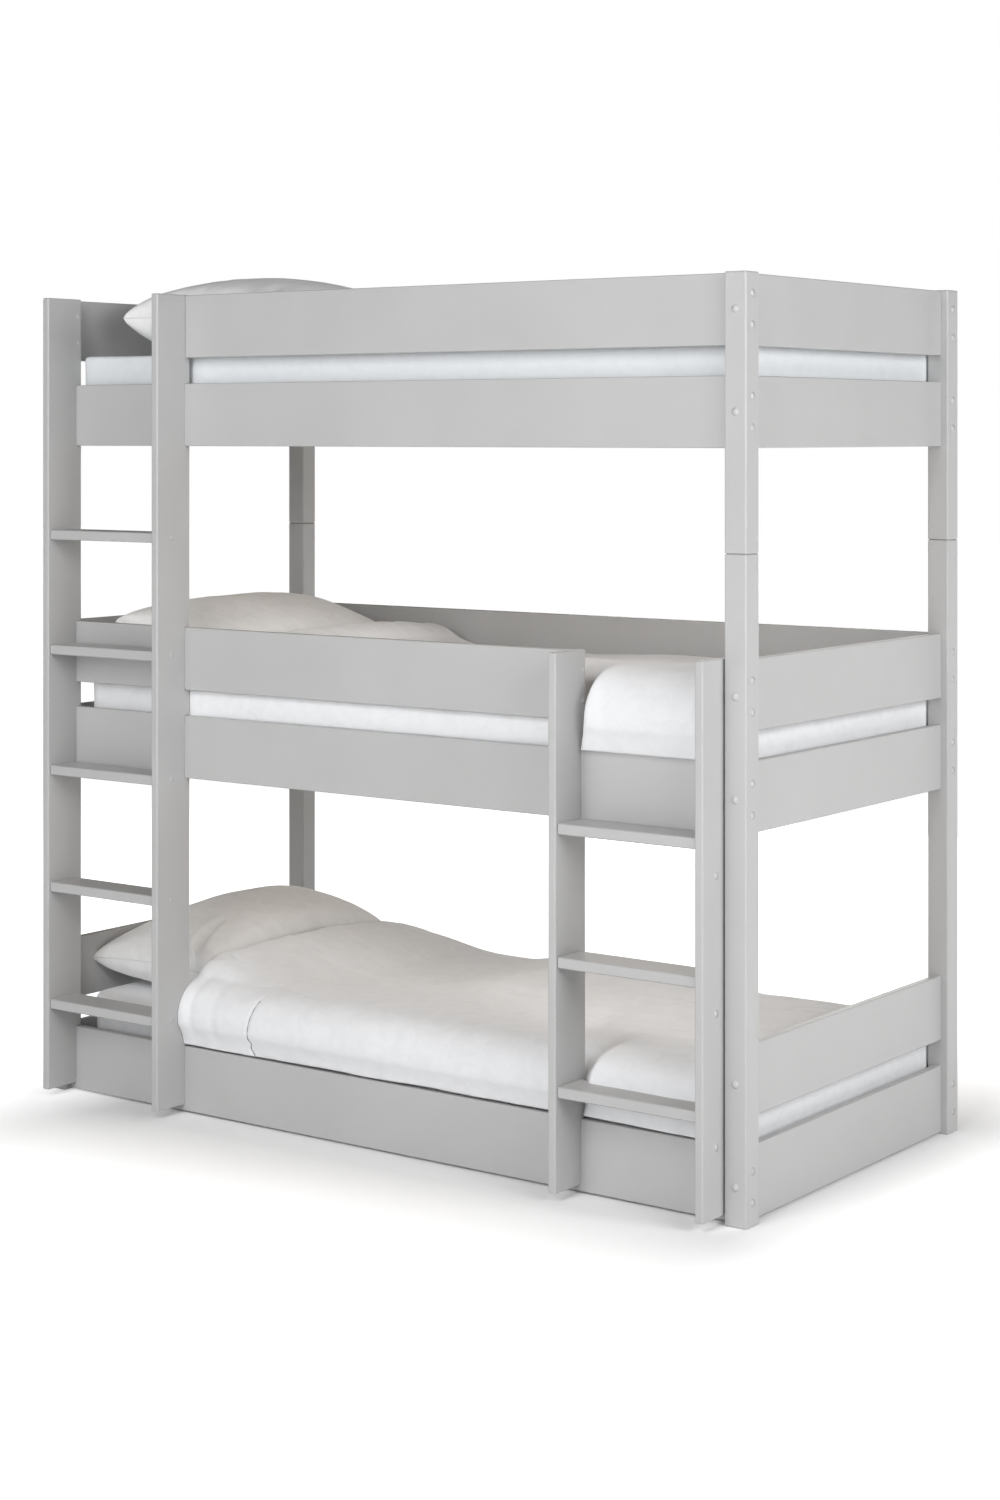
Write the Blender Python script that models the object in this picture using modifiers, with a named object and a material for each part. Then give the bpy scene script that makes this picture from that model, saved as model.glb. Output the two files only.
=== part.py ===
"""Triple bunk bed: four posts, three sleeping places, a tall ladder and a short ladder.

X runs along the bed with the pillows at -X, the ladders stand on the -Y side and Z points up.
The origin is the middle of the bed's footprint on the floor. Lengths are in metres.
"""
import math
from collections import namedtuple

import bmesh
import bpy
from mathutils import Matrix, Vector

# Overall sizes of the frame
BED_LENGTH = 2.040
BED_WIDTH = 0.976
POST_SIZE = 0.053
POST_HEIGHT = 1.990
POST_SEAM_DROP = 0.589
POST_ROUNDING = 0.003
FIT_GAP = 0.0003

# Boards: rails, guards and end boards
BOARD_THICKNESS = 0.018
BOARD_HEIGHT = 0.152
LOWEST_BOARD_HEIGHT = 0.157
BOARD_EASING = 0.0015
FLOOR_GAP = 0.005
TOP_RAIL_DROP = 0.2167
BUNK_PITCH = 0.8076
LOWEST_BOARD_SPACING = 0.060
BOARD_SPACING = 0.0625

# Ladders
SIDE_THICKNESS = 0.020
SIDE_DEPTH = 0.115
SIDE_FLOOR_GAP = 0.020
SIDE_ROUNDING = 0.003
LADDER_CLEAR_WIDTH = 0.350
POST_TO_LADDER = 0.0035
TALL_LADDER_DROP = 0.001
SHORT_LADDER_RISE = 0.0018
TREAD_THICKNESS = 0.024
TREAD_DEPTH = 0.088
TREAD_SETBACK = 0.006
TREAD_EASING = 0.002
TALL_TREAD_SHARES = (0.1384, 0.3028, 0.4666, 0.6355, 0.7963)
SHORT_TREAD_SHARES = (0.2589, 0.5473, 0.8444)

# Bolts, caps and dowels
CAP_RADIUS = 0.0078
CAP_HEIGHT = 0.003
CAP_SINK = 0.0005
BOLT_RADIUS = 0.0035
BOLT_ROOT = 0.006
BOLT_REACH = 0.040
BOLT_SPREAD = 0.033
SIDE_BOLT_REACH = 0.012
BORE_CLEARANCE = 0.0003
BORE_END_ROOM = 0.001
SPARE_CAP_DROP = 0.0705
SPARE_CAP_SHIFT = 0.0025
DOWEL_RADIUS = 0.005
DOWEL_REACH = 0.012
DOWEL_SPREAD = 0.022
POST_DOWEL_RADIUS = 0.009
POST_DOWEL_LENGTH = 0.090

# Slatted bases
SLAT_THICKNESS = 0.018
SLAT_WIDTH = 0.075
SLAT_COUNT = 13
SLAT_SEAT = 0.001
SLAT_INSET = 0.001
BATTEN_DEPTH = 0.025
BATTEN_HEIGHT = 0.030
BATTEN_END_ROOM = 0.010
SLAT_END_ROOM = 0.003
MATTRESS_SINK = 0.087

# Mattresses
MATTRESS_END_ROOM = 0.069
MATTRESS_FRONT_GAP = 0.012
MATTRESS_THICKNESS = 0.160
MATTRESS_CROWN = 0.006
MATTRESS_PULL = 0.003
MATTRESS_BORDER = 0.050
MATTRESS_REAR_GAP = 0.003
MATTRESS_HEAD_ROOM_SHARE = 0.645

# Pillows
TOP_PILLOW_WIDTH = 0.500
SQUASHED_PILLOW_WIDTH = 0.420
PILLOW_REAR_ROOM = 0.066
PILLOW_PULL_SHARE = 0.05
PILLOW_SIDE_POWER = 0.40
PILLOW_SAG_SHARE = 1.3
PILLOW_CELLS = (8, 6)
BOTTOM_PILLOW_RISE = 0.093
MIDDLE_PILLOW_RISE = 0.090
TOP_PILLOW_RISE = 0.081
BOTTOM_PILLOW_LOFT = 0.223
MIDDLE_PILLOW_LOFT = 0.190
TOP_PILLOW_LOFT = 0.234
BOTTOM_PILLOW_HEAD_ROOM = 0.002
MIDDLE_PILLOW_HEAD_ROOM = 0.060
TOP_PILLOW_HEAD_ROOM = 0.094
PILLOW_FRONT_ROOM = 0.074

# Duvets
DUVET_LOFT = 0.046
DUVET_HEAD_LOFT = 0.130
DUVET_HEAD_SPAN = 0.280
DUVET_LIP_LOFT = 0.088
DUVET_CORNER_LOFT = 0.045
DUVET_FRONT_LOFT = 0.021
DUVET_EDGE_LOFT = 0.007
DUVET_REAR_EDGE_LOFT = 0.040
DUVET_END_SHARE = 0.5
DUVET_SIDE_GAP = 0.0012
DUVET_TO_PILLOW = 0.003
DUVET_FOOT_ROOM = 0.004
DUVET_REAR_ROOM = 0.012
DUVET_RAIL_GAP = 0.0015
DUVET_BEND = 0.014
DUVET_ROW_SHARES = (0.33, 0.67, 1)
DUVET_STATION_SHARES = (0, 0.12, 0.3, 0.55, 1)
DUVET_SIDE_ROOM = 0.004
DUVET_ROUNDING = 0.040

# Facets of round parts
CAP_SIDES = 10
BOLT_SIDES = 8
CAP_RINGS = 4
DOWEL_SIDES = 12

# Places worked out from the sizes
TOP_RAIL_TOP = POST_HEIGHT - TOP_RAIL_DROP
MIDDLE_RAIL_TOP = TOP_RAIL_TOP - BUNK_PITCH
POST_SEAM_HEIGHT = POST_HEIGHT - POST_SEAM_DROP
HALF_LENGTH = BED_LENGTH / 2
HEAD_FACE = -HALF_LENGTH + POST_SIZE
FOOT_FACE = HALF_LENGTH - POST_SIZE
REAR_POST = BED_WIDTH - POST_SIZE
BOARD_INSET = (POST_SIZE - BOARD_THICKNESS) / 2
BOARD_LINE = POST_SIZE / 2
RAIL_BACK = BOARD_INSET + BOARD_THICKNESS
RECESS_REAR = BED_WIDTH - RAIL_BACK
RECESS_HEAD = -HALF_LENGTH + RAIL_BACK
SIDE_FRONT = RAIL_BACK - SIDE_DEPTH
DEPTH_MIDDLE = (SIDE_FRONT + BED_WIDTH + CAP_HEIGHT - CAP_SINK) / 2
MATTRESS_LENGTH = -2 * RECESS_HEAD - MATTRESS_END_ROOM
MATTRESS_HEAD = RECESS_HEAD + MATTRESS_END_ROOM * MATTRESS_HEAD_ROOM_SHARE
MATTRESS_FOOT = MATTRESS_HEAD + MATTRESS_LENGTH
MATTRESS_REAR = RECESS_REAR - MATTRESS_REAR_GAP
MATTRESS_FRONT = RAIL_BACK + MATTRESS_FRONT_GAP
MATTRESS_WIDTH = MATTRESS_REAR - MATTRESS_FRONT
PILLOW_LENGTH = MATTRESS_WIDTH - PILLOW_FRONT_ROOM - PILLOW_REAR_ROOM

Level = namedtuple("Level", "name low high")
Bunk = namedtuple("Bunk", "name rail upper mattress_top")
Bolt = namedtuple("Bolt", "carrier receiver outer inner reach radius cap")
Pillow = namedtuple("Pillow", "x y seam loft width")


def make_bunks():
    """Heights of the boards and of the mattress in each bunk, from the bottom up."""
    tops = (FLOOR_GAP + LOWEST_BOARD_HEIGHT, MIDDLE_RAIL_TOP, TOP_RAIL_TOP)
    heights = (LOWEST_BOARD_HEIGHT, BOARD_HEIGHT, BOARD_HEIGHT)
    spacings = (LOWEST_BOARD_SPACING, BOARD_SPACING, BOARD_SPACING)
    bunks = []
    for name, top, height, spacing in zip(("bottom", "middle", "top"), tops, heights, spacings):
        rail = Level("lower", top - height, top)
        upper = Level("upper", top + spacing, top + spacing + BOARD_HEIGHT)
        mattress_top = top - MATTRESS_SINK + MATTRESS_THICKNESS
        bunks.append(Bunk(name, rail, upper, mattress_top))
    return bunks


BUNKS = make_bunks()
BOTTOM, MIDDLE, TOP = BUNKS

# Where the four ladder sides stand: the face towards the head and the face towards the foot
TALL_HEAD_SIDE = (HEAD_FACE + POST_TO_LADDER, HEAD_FACE + POST_TO_LADDER + SIDE_THICKNESS)
TALL_FOOT_SIDE = (TALL_HEAD_SIDE[1] + LADDER_CLEAR_WIDTH,
                  TALL_HEAD_SIDE[1] + LADDER_CLEAR_WIDTH + SIDE_THICKNESS)
SHORT_FOOT_SIDE = (FOOT_FACE - POST_TO_LADDER - SIDE_THICKNESS, FOOT_FACE - POST_TO_LADDER)
SHORT_HEAD_SIDE = (SHORT_FOOT_SIDE[0] - LADDER_CLEAR_WIDTH - SIDE_THICKNESS,
                   SHORT_FOOT_SIDE[0] - LADDER_CLEAR_WIDTH)


# The scene, the collections and the materials

def clear_scene():
    """Remove what the opened scene holds."""
    for old in list(bpy.data.objects):
        bpy.data.objects.remove(old, do_unlink=True)


def new_collection(name):
    """A collection linked to the scene."""
    made = bpy.data.collections.new(name)
    bpy.context.scene.collection.children.link(made)
    return made


def surface(name, colour, roughness, metallic):
    """A Principled material."""
    made = bpy.data.materials.new(name)
    made.use_nodes = True
    shader = made.node_tree.nodes["Principled BSDF"]
    shader.inputs["Base Color"].default_value = (*colour, 1.0)
    shader.inputs["Roughness"].default_value = roughness
    shader.inputs["Metallic"].default_value = metallic
    return made


def frame_paint():
    """Light grey satin paint of every board, post, ladder side and tread."""
    return surface("frame_paint", (0.46, 0.46, 0.46), 0.45, 0.0)


def slat_wood():
    """Pale softwood of the slatted bases and the hidden dowels."""
    return surface("slat_wood", (0.62, 0.45, 0.27), 0.6, 0.0)


def mattress_cover():
    """White knitted mattress cover."""
    return surface("mattress_cover", (0.78, 0.79, 0.80), 0.9, 0.0)


def pillow_cotton():
    """White cotton of the pillow cases."""
    return surface("pillow_cotton", (0.80, 0.80, 0.79), 0.85, 0.0)


def duvet_cotton():
    """White cotton of the duvet covers."""
    return surface("duvet_cotton", (0.81, 0.82, 0.82), 0.85, 0.0)


# Solids and cutters

def join_scene(name, mesh_builder, collection, place=(0, 0, 0)):
    """An object made from what mesh_builder draws, at its place in the bed's frame."""
    mesh = bpy.data.meshes.new(name)
    bm = bmesh.new()
    mesh_builder(bm)
    bm.to_mesh(mesh)
    bm.free()
    made = bpy.data.objects.new(name, mesh)
    made.parent = BED
    made.location = place
    collection.objects.link(made)
    return made


def draw_box(bm, low, high, centre=(0, 0, 0)):
    """A box between two corners, drawn about centre."""
    size = Vector(high) - Vector(low)
    middle = (Vector(high) + Vector(low)) / 2 - Vector(centre)
    matrix = Matrix.Translation(middle) @ Matrix.Diagonal((*size, 1))
    bmesh.ops.create_cube(bm, size=1, matrix=matrix)


def turn_to(direction):
    """The rotation that takes +Z to a direction."""
    return Vector((0, 0, 1)).rotation_difference(Vector(direction)).to_matrix().to_4x4()


def draw_rod(bm, start, end, radius, sides=BOLT_SIDES):
    """A round bar from start to end."""
    run = Vector(end) - Vector(start)
    matrix = Matrix.Translation((Vector(start) + Vector(end)) / 2) @ turn_to(run)
    bmesh.ops.create_cone(bm, cap_ends=True, segments=sides, radius1=radius, radius2=radius,
                          depth=run.length, matrix=matrix)


def draw_cap(bm, face_point, direction):
    """A low domed bolt cap that stands on a face, outwards along direction."""
    sunk = Vector(face_point) - Vector(direction) * CAP_SINK
    shape = Matrix.Diagonal((CAP_RADIUS, CAP_RADIUS, CAP_HEIGHT, 1))
    bmesh.ops.create_uvsphere(bm, u_segments=CAP_SIDES, v_segments=CAP_RINGS, radius=1,
                              matrix=Matrix.Translation(sunk) @ turn_to(direction) @ shape)


def draw_bolt(bm, bolt):
    """The cap on the outer face and the shank that leaves the inner face."""
    along = (Vector(bolt.inner) - Vector(bolt.outer)).normalized()
    if bolt.cap:
        draw_cap(bm, bolt.outer, -along)
    if bolt.reach:
        inner = Vector(bolt.inner)
        draw_rod(bm, inner - along * BOLT_ROOT, inner + along * bolt.reach, bolt.radius)


def draw_bore(bm, bolt):
    """The bore that takes a bolt's shank, open towards the piece it comes from."""
    along = (Vector(bolt.inner) - Vector(bolt.outer)).normalized()
    inner = Vector(bolt.inner)
    end = inner + along * (bolt.reach + BORE_END_ROOM)
    draw_rod(bm, inner, end, bolt.radius + BORE_CLEARANCE)


def cut(piece, kind, mesh_builder):
    """Join a guide solid to the piece, or take it away, with a Boolean."""
    guide = join_scene(f"{piece.name}.{kind.lower()}", mesh_builder, CUTTERS)
    guide.hide_render = True
    guide.display_type = "WIRE"
    modifier = piece.modifiers.new(kind.title(), "BOOLEAN")
    modifier.operation = kind
    modifier.solver = "EXACT"
    modifier.object = guide


def fasten(piece):
    """Give a piece its own bolts and the bores for the bolts of its neighbours."""
    own = [bolt for bolt in BOLTS if bolt.carrier == piece.name]
    taken = [bolt for bolt in BOLTS if bolt.receiver == piece.name]

    def draw_own(bm):
        for bolt in own:
            draw_bolt(bm, bolt)

    def draw_taken(bm):
        for bolt in taken:
            draw_bore(bm, bolt)

    if own:
        cut(piece, "UNION", draw_own)
    if taken:
        cut(piece, "DIFFERENCE", draw_taken)


def soften_edges(piece, width, segments):
    """Round or ease the long edges of a wooden piece."""
    bevel = piece.modifiers.new("Edges", "BEVEL")
    bevel.width = width
    bevel.segments = segments
    bevel.limit_method = "ANGLE"


def wooden_piece(name, low, high, easing, segments=1):
    """A painted box between two corners of the bed's frame, with eased edges and its bolts."""
    centre = (Vector(low) + Vector(high)) / 2
    piece = join_scene(name, lambda bm: draw_box(bm, low, high, centre), PARTS, centre)
    piece.data.materials.append(PAINT)
    soften_edges(piece, easing, segments)
    return piece


def smooth(piece, levels):
    """Subdivide a soft cage and shade it smooth."""
    subdivision = piece.modifiers.new("Soft", "SUBSURF")
    subdivision.levels = levels
    subdivision.render_levels = levels
    piece.data.shade_smooth()


# Bolts: worked out once, so that each shank and its bore share the same values

def post_name(section, side, end):
    """The node name of a post section, such as post_lower_front_head."""
    return f"post_{section}_{side}_{end}"


def post_section(height):
    """Which section of a post a height lies in."""
    return "lower" if height < POST_SEAM_HEIGHT else "upper"


def rail_end_bolts(board, side, height, ends):
    """Two bolts through a post into each end of a rail or guard."""
    y = BOARD_LINE if side == "front" else BED_WIDTH - BOARD_LINE
    bolts = []
    for end in ends:
        sign = -1 if end == "head" else 1
        outer_x = sign * HALF_LENGTH
        inner_x = sign * (HALF_LENGTH - POST_SIZE)
        for z in (height - BOLT_SPREAD, height + BOLT_SPREAD):
            carrier = post_name(post_section(z), side, end)
            bolts.append(Bolt(carrier, board, (outer_x, y, z), (inner_x, y, z),
                              BOLT_REACH, BOLT_RADIUS, True))
    return bolts


def end_board_bolts(board, end, height):
    """One bolt through the front post and one through the rear post into an end board."""
    x = (-1 if end == "head" else 1) * (HALF_LENGTH - BOARD_LINE)
    section = post_section(height)
    front = Bolt(post_name(section, "front", end), board, (x, 0, height),
                 (x, POST_SIZE, height), BOLT_REACH, BOLT_RADIUS, True)
    rear = Bolt(post_name(section, "rear", end), board, (x, BED_WIDTH, height),
                (x, REAR_POST, height), BOLT_REACH, BOLT_RADIUS, True)
    return [front, rear]


def ladder_frame_bolts():
    """Bolts that hold the ladder sides to the posts and to the guards' free ends."""
    bolts = []
    top_guard = (TOP.upper.low + TOP.upper.high) / 2
    middle_guard = (MIDDLE.upper.low + MIDDLE.upper.high) / 2
    for shift in (-BOLT_SPREAD, BOLT_SPREAD):
        high = top_guard + shift
        low = middle_guard + shift
        bolts.append(Bolt("tall_ladder_side_head", post_name("upper", "front", "head"),
                          (TALL_HEAD_SIDE[1], BOARD_LINE, high),
                          (TALL_HEAD_SIDE[0], BOARD_LINE, high),
                          POST_TO_LADDER + BOLT_REACH / 2, BOLT_RADIUS, True))
        bolts.append(Bolt("tall_ladder_side_foot", "guard_top_front",
                          (TALL_FOOT_SIDE[0], BOARD_LINE, high),
                          (TALL_FOOT_SIDE[1], BOARD_LINE, high), BOLT_REACH, BOLT_RADIUS, True))
        bolts.append(Bolt("short_ladder_side_head", "guard_middle_front",
                          (SHORT_HEAD_SIDE[1], BOARD_LINE, low),
                          (SHORT_HEAD_SIDE[0], BOARD_LINE, low), BOLT_REACH, BOLT_RADIUS, True))
        bolts.append(Bolt(post_name("lower", "front", "foot"), "short_ladder_side_foot",
                          (HALF_LENGTH, BOARD_LINE, low), (FOOT_FACE, BOARD_LINE, low),
                          POST_TO_LADDER + SIDE_BOLT_REACH, BOLT_RADIUS, True))
    return bolts


def tread_middle():
    """The middle of a tread from front to rear."""
    return SIDE_FRONT + TREAD_SETBACK + TREAD_DEPTH / 2


def tread_tops(rail_top, shares):
    """Heights of a ladder's tread tops, below the rail that the ladder climbs to."""
    return [rail_top * share for share in shares]


def tall_tread_bolts():
    """A capped bolt and a dowel at each end of the tall ladder's treads."""
    bolts = []
    y = tread_middle()
    for number, top in enumerate(tread_tops(TOP_RAIL_TOP, TALL_TREAD_SHARES), 1):
        z = top - TREAD_THICKNESS / 2
        tread = f"tall_ladder_tread_{number}"
        for side, (outer, inner) in (("head", TALL_HEAD_SIDE),
                                     ("foot", TALL_FOOT_SIDE[::-1])):
            bolts.append(Bolt(f"tall_ladder_side_{side}", tread, (outer, y, z), (inner, y, z),
                              BOLT_REACH, BOLT_RADIUS, True))
    return bolts


def short_tread_dowels():
    """Two hidden dowels at each end of the short ladder's treads."""
    dowels = []
    for number, top in enumerate(tread_tops(MIDDLE_RAIL_TOP, SHORT_TREAD_SHARES), 1):
        z = top - TREAD_THICKNESS / 2
        tread = f"short_ladder_tread_{number}"
        ends = (("head", SHORT_HEAD_SIDE[1] + FIT_GAP, SHORT_FOOT_SIDE[0]),
                ("foot", SHORT_FOOT_SIDE[0] - FIT_GAP, SHORT_HEAD_SIDE[1]))
        for side, inner, outer in ends:
            for y in (tread_middle() - DOWEL_SPREAD, tread_middle() + DOWEL_SPREAD):
                dowels.append(Bolt(tread, f"short_ladder_side_{side}", (outer, y, z),
                                   (inner, y, z), DOWEL_REACH, DOWEL_RADIUS, False))
    return dowels


def spare_caps():
    """Caps on the outer face of the short ladder's side at the foot end, below each tread."""
    caps = []
    y = tread_middle() + SPARE_CAP_SHIFT
    for top in tread_tops(MIDDLE_RAIL_TOP, SHORT_TREAD_SHARES):
        z = top - TREAD_THICKNESS / 2 - SPARE_CAP_DROP
        caps.append(Bolt("short_ladder_side_foot", None, (SHORT_FOOT_SIDE[1], y, z),
                         (SHORT_FOOT_SIDE[0], y, z), 0, BOLT_RADIUS, True))
    return caps


def all_bolts():
    """Every bolt and dowel of the bed."""
    bolts = ladder_frame_bolts() + tall_tread_bolts() + short_tread_dowels() + spare_caps()
    for bunk in BUNKS:
        rail_height = (bunk.rail.low + bunk.rail.high) / 2
        guard_height = (bunk.upper.low + bunk.upper.high) / 2
        for side in ("front", "rear"):
            bolts += rail_end_bolts(f"rail_{bunk.name}_{side}", side, rail_height,
                                    ("head", "foot"))
        if bunk is not BOTTOM:
            bolts += rail_end_bolts(f"guard_{bunk.name}_rear", "rear", guard_height,
                                    ("head", "foot"))
        for end in ("head", "foot"):
            bolts += end_board_bolts(f"board_{end}_{bunk.name}_lower", end, rail_height)
            bolts += end_board_bolts(f"board_{end}_{bunk.name}_upper", end, guard_height)
    guard = (MIDDLE.upper.low + MIDDLE.upper.high) / 2
    bolts += rail_end_bolts("guard_middle_front", "front", guard, ("head",))
    guard = (TOP.upper.low + TOP.upper.high) / 2
    bolts += rail_end_bolts("guard_top_front", "front", guard, ("foot",))
    return bolts


# Wooden sub-parts

def make_posts():
    """Four posts, each of a lower and an upper section joined by a dowel."""
    for side, y in (("front", 0), ("rear", REAR_POST)):
        for end, x in (("head", -HALF_LENGTH), ("foot", FOOT_FACE)):
            sections = (("lower", 0, POST_SEAM_HEIGHT - FIT_GAP / 2),
                        ("upper", POST_SEAM_HEIGHT + FIT_GAP / 2, POST_HEIGHT))
            axis = (x + POST_SIZE / 2, y + POST_SIZE / 2)
            low_end = POST_SEAM_HEIGHT - POST_DOWEL_LENGTH / 2
            high_end = POST_SEAM_HEIGHT + POST_DOWEL_LENGTH / 2
            for section, bottom, top in sections:
                post = wooden_piece(post_name(section, side, end), (x, y, bottom),
                                    (x + POST_SIZE, y + POST_SIZE, top), POST_ROUNDING, 2)
                fasten(post)
                cut(post, "DIFFERENCE",
                    lambda bm: draw_rod(bm, (*axis, low_end - BORE_END_ROOM),
                                        (*axis, high_end + BORE_END_ROOM),
                                        POST_DOWEL_RADIUS + BORE_CLEARANCE, DOWEL_SIDES))
            make_post_dowel(f"post_dowel_{side}_{end}", axis, low_end, high_end)


def make_post_dowel(name, axis, low_end, high_end):
    """The dowel inside a post that joins its two sections."""
    dowel = join_scene(name, lambda bm: draw_rod(bm, (0, 0, low_end), (0, 0, high_end),
                                                 POST_DOWEL_RADIUS, DOWEL_SIDES),
                       PARTS, (*axis, 0))
    dowel.data.materials.append(WOOD)


def long_board(name, head_x, foot_x, side, level):
    """A rail or guard along one long side."""
    y = BOARD_INSET if side == "front" else BED_WIDTH - BOARD_INSET - BOARD_THICKNESS
    board = wooden_piece(name, (head_x, y, level.low), (foot_x, y + BOARD_THICKNESS, level.high),
                         BOARD_EASING)
    fasten(board)


def make_long_boards():
    """Rails on both long sides of each bunk, and guards on the two upper bunks."""
    head_x = HEAD_FACE + FIT_GAP
    foot_x = FOOT_FACE - FIT_GAP
    for bunk in BUNKS:
        for side in ("front", "rear"):
            long_board(f"rail_{bunk.name}_{side}", head_x, foot_x, side, bunk.rail)
    for bunk in (MIDDLE, TOP):
        long_board(f"guard_{bunk.name}_rear", head_x, foot_x, "rear", bunk.upper)
    long_board("guard_middle_front", head_x, SHORT_HEAD_SIDE[0] - FIT_GAP, "front",
               MIDDLE.upper)
    long_board("guard_top_front", TALL_FOOT_SIDE[1] + FIT_GAP, foot_x, "front", TOP.upper)


def make_end_boards():
    """A lower and an upper board across each end of each bunk."""
    for end, x in (("head", -HALF_LENGTH + BOARD_INSET),
                   ("foot", HALF_LENGTH - BOARD_INSET - BOARD_THICKNESS)):
        for bunk in BUNKS:
            for level in (bunk.rail, bunk.upper):
                board = wooden_piece(f"board_{end}_{bunk.name}_{level.name}",
                                     (x, POST_SIZE + FIT_GAP, level.low),
                                     (x + BOARD_THICKNESS, REAR_POST - FIT_GAP, level.high),
                                     BOARD_EASING)
                fasten(board)


def ladder_side(name, faces, top, housed):
    """A ladder side with a housing at its rear for each board that passes behind it."""
    side = wooden_piece(name, (faces[0], SIDE_FRONT, SIDE_FLOOR_GAP),
                        (faces[1], RAIL_BACK, top), SIDE_ROUNDING, 2)

    def draw_housings(bm):
        for level in housed:
            draw_box(bm, (faces[0] - SIDE_THICKNESS, BOARD_INSET - FIT_GAP, level.low - FIT_GAP),
                     (faces[1] + SIDE_THICKNESS, RAIL_BACK + BOARD_THICKNESS,
                      level.high + FIT_GAP))

    cut(side, "DIFFERENCE", draw_housings)
    fasten(side)


def make_treads(ladder, faces, rail_top, shares):
    """The treads between the two sides of a ladder."""
    front = SIDE_FRONT + TREAD_SETBACK
    for number, top in enumerate(tread_tops(rail_top, shares), 1):
        tread = wooden_piece(f"{ladder}_tread_{number}",
                             (faces[0] + FIT_GAP, front, top - TREAD_THICKNESS),
                             (faces[1] - FIT_GAP, front + TREAD_DEPTH, top), TREAD_EASING)
        fasten(tread)


def make_ladders():
    """The tall ladder at the head end and the short one at the foot end."""
    lower_rails = [BOTTOM.rail, MIDDLE.rail]
    tall_housed = lower_rails + [MIDDLE.upper, TOP.rail]
    tall_top = POST_HEIGHT - TALL_LADDER_DROP
    short_top = MIDDLE.upper.high + SHORT_LADDER_RISE
    ladder_side("tall_ladder_side_head", TALL_HEAD_SIDE, tall_top, tall_housed)
    ladder_side("tall_ladder_side_foot", TALL_FOOT_SIDE, tall_top, tall_housed)
    ladder_side("short_ladder_side_head", SHORT_HEAD_SIDE, short_top, lower_rails)
    ladder_side("short_ladder_side_foot", SHORT_FOOT_SIDE, short_top, lower_rails)
    make_treads("tall_ladder", (TALL_HEAD_SIDE[1], TALL_FOOT_SIDE[0]), TOP_RAIL_TOP,
                TALL_TREAD_SHARES)
    make_treads("short_ladder", (SHORT_HEAD_SIDE[1], SHORT_FOOT_SIDE[0]), MIDDLE_RAIL_TOP,
                SHORT_TREAD_SHARES)


def make_slat_bases():
    """A slatted base in each bunk: slats that bear on a batten along each rail."""
    head = HEAD_FACE + BATTEN_END_ROOM
    foot = FOOT_FACE - BATTEN_END_ROOM
    pitch = (foot - head - SLAT_WIDTH) / (SLAT_COUNT - 1)
    batten_fronts = (RAIL_BACK + FIT_GAP, RECESS_REAR - FIT_GAP - BATTEN_DEPTH)
    for bunk in BUNKS:
        slat_top = bunk.mattress_top - MATTRESS_THICKNESS - FIT_GAP
        slat_low = slat_top - SLAT_THICKNESS
        batten_top = slat_low + SLAT_SEAT
        batten_low = batten_top - BATTEN_HEIGHT

        def draw_slats(bm):
            for number in range(SLAT_COUNT):
                start = head + number * pitch
                inset = SLAT_INSET if number in (0, SLAT_COUNT - 1) else 0
                draw_box(bm, (start + inset, RAIL_BACK + SLAT_END_ROOM, slat_low),
                         (start + SLAT_WIDTH - inset, RECESS_REAR - SLAT_END_ROOM, slat_top))

        def draw_battens(bm):
            for front in batten_fronts:
                draw_box(bm, (head, front, batten_low), (foot, front + BATTEN_DEPTH, batten_top))

        base = join_scene(f"slat_base_{bunk.name}", draw_slats, PARTS)
        base.data.materials.append(WOOD)
        cut(base, "UNION", draw_battens)


# Mattresses

def make_mattress(bunk):
    """A mattress whose top falls away at its edges and whose sides pull in between corners."""
    half = Vector((MATTRESS_LENGTH, MATTRESS_WIDTH, MATTRESS_THICKNESS)) / 2
    middle = Vector(((MATTRESS_HEAD + MATTRESS_FOOT) / 2, (MATTRESS_FRONT + MATTRESS_REAR) / 2,
                     bunk.mattress_top - half.z))

    def draw(bm):
        draw_box(bm, -half, half)
        cuts = [((sign * (half.x - MATTRESS_BORDER), 0, 0), (1, 0, 0)) for sign in (-1, 1)]
        cuts += [((sign * (half.x - MATTRESS_BORDER * 4), 0, 0), (1, 0, 0)) for sign in (-1, 1)]
        cuts += [((0, sign * (half.y - MATTRESS_BORDER), 0), (0, 1, 0)) for sign in (-1, 0, 1)]
        for place, normal in cuts:
            geometry = bm.verts[:] + bm.edges[:] + bm.faces[:]
            bmesh.ops.bisect_plane(bm, geom=geometry, plane_co=place, plane_no=normal)
        for vert in bm.verts:
            across = 1 - (vert.co.x / half.x) ** 2
            along = 1 - (vert.co.y / half.y) ** 2
            if vert.co.z > 0 and across * along == 0:
                vert.co.z -= MATTRESS_CROWN
            vert.co.y -= math.copysign(MATTRESS_PULL * across, vert.co.y) * (along == 0)
            vert.co.x -= math.copysign(MATTRESS_PULL * along, vert.co.x) * (across == 0)

    mattress = join_scene(f"mattress_{bunk.name}", draw, PARTS, middle)
    mattress.data.materials.append(MATTRESS_COVER)
    smooth(mattress, 1)


# Pillows

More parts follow.
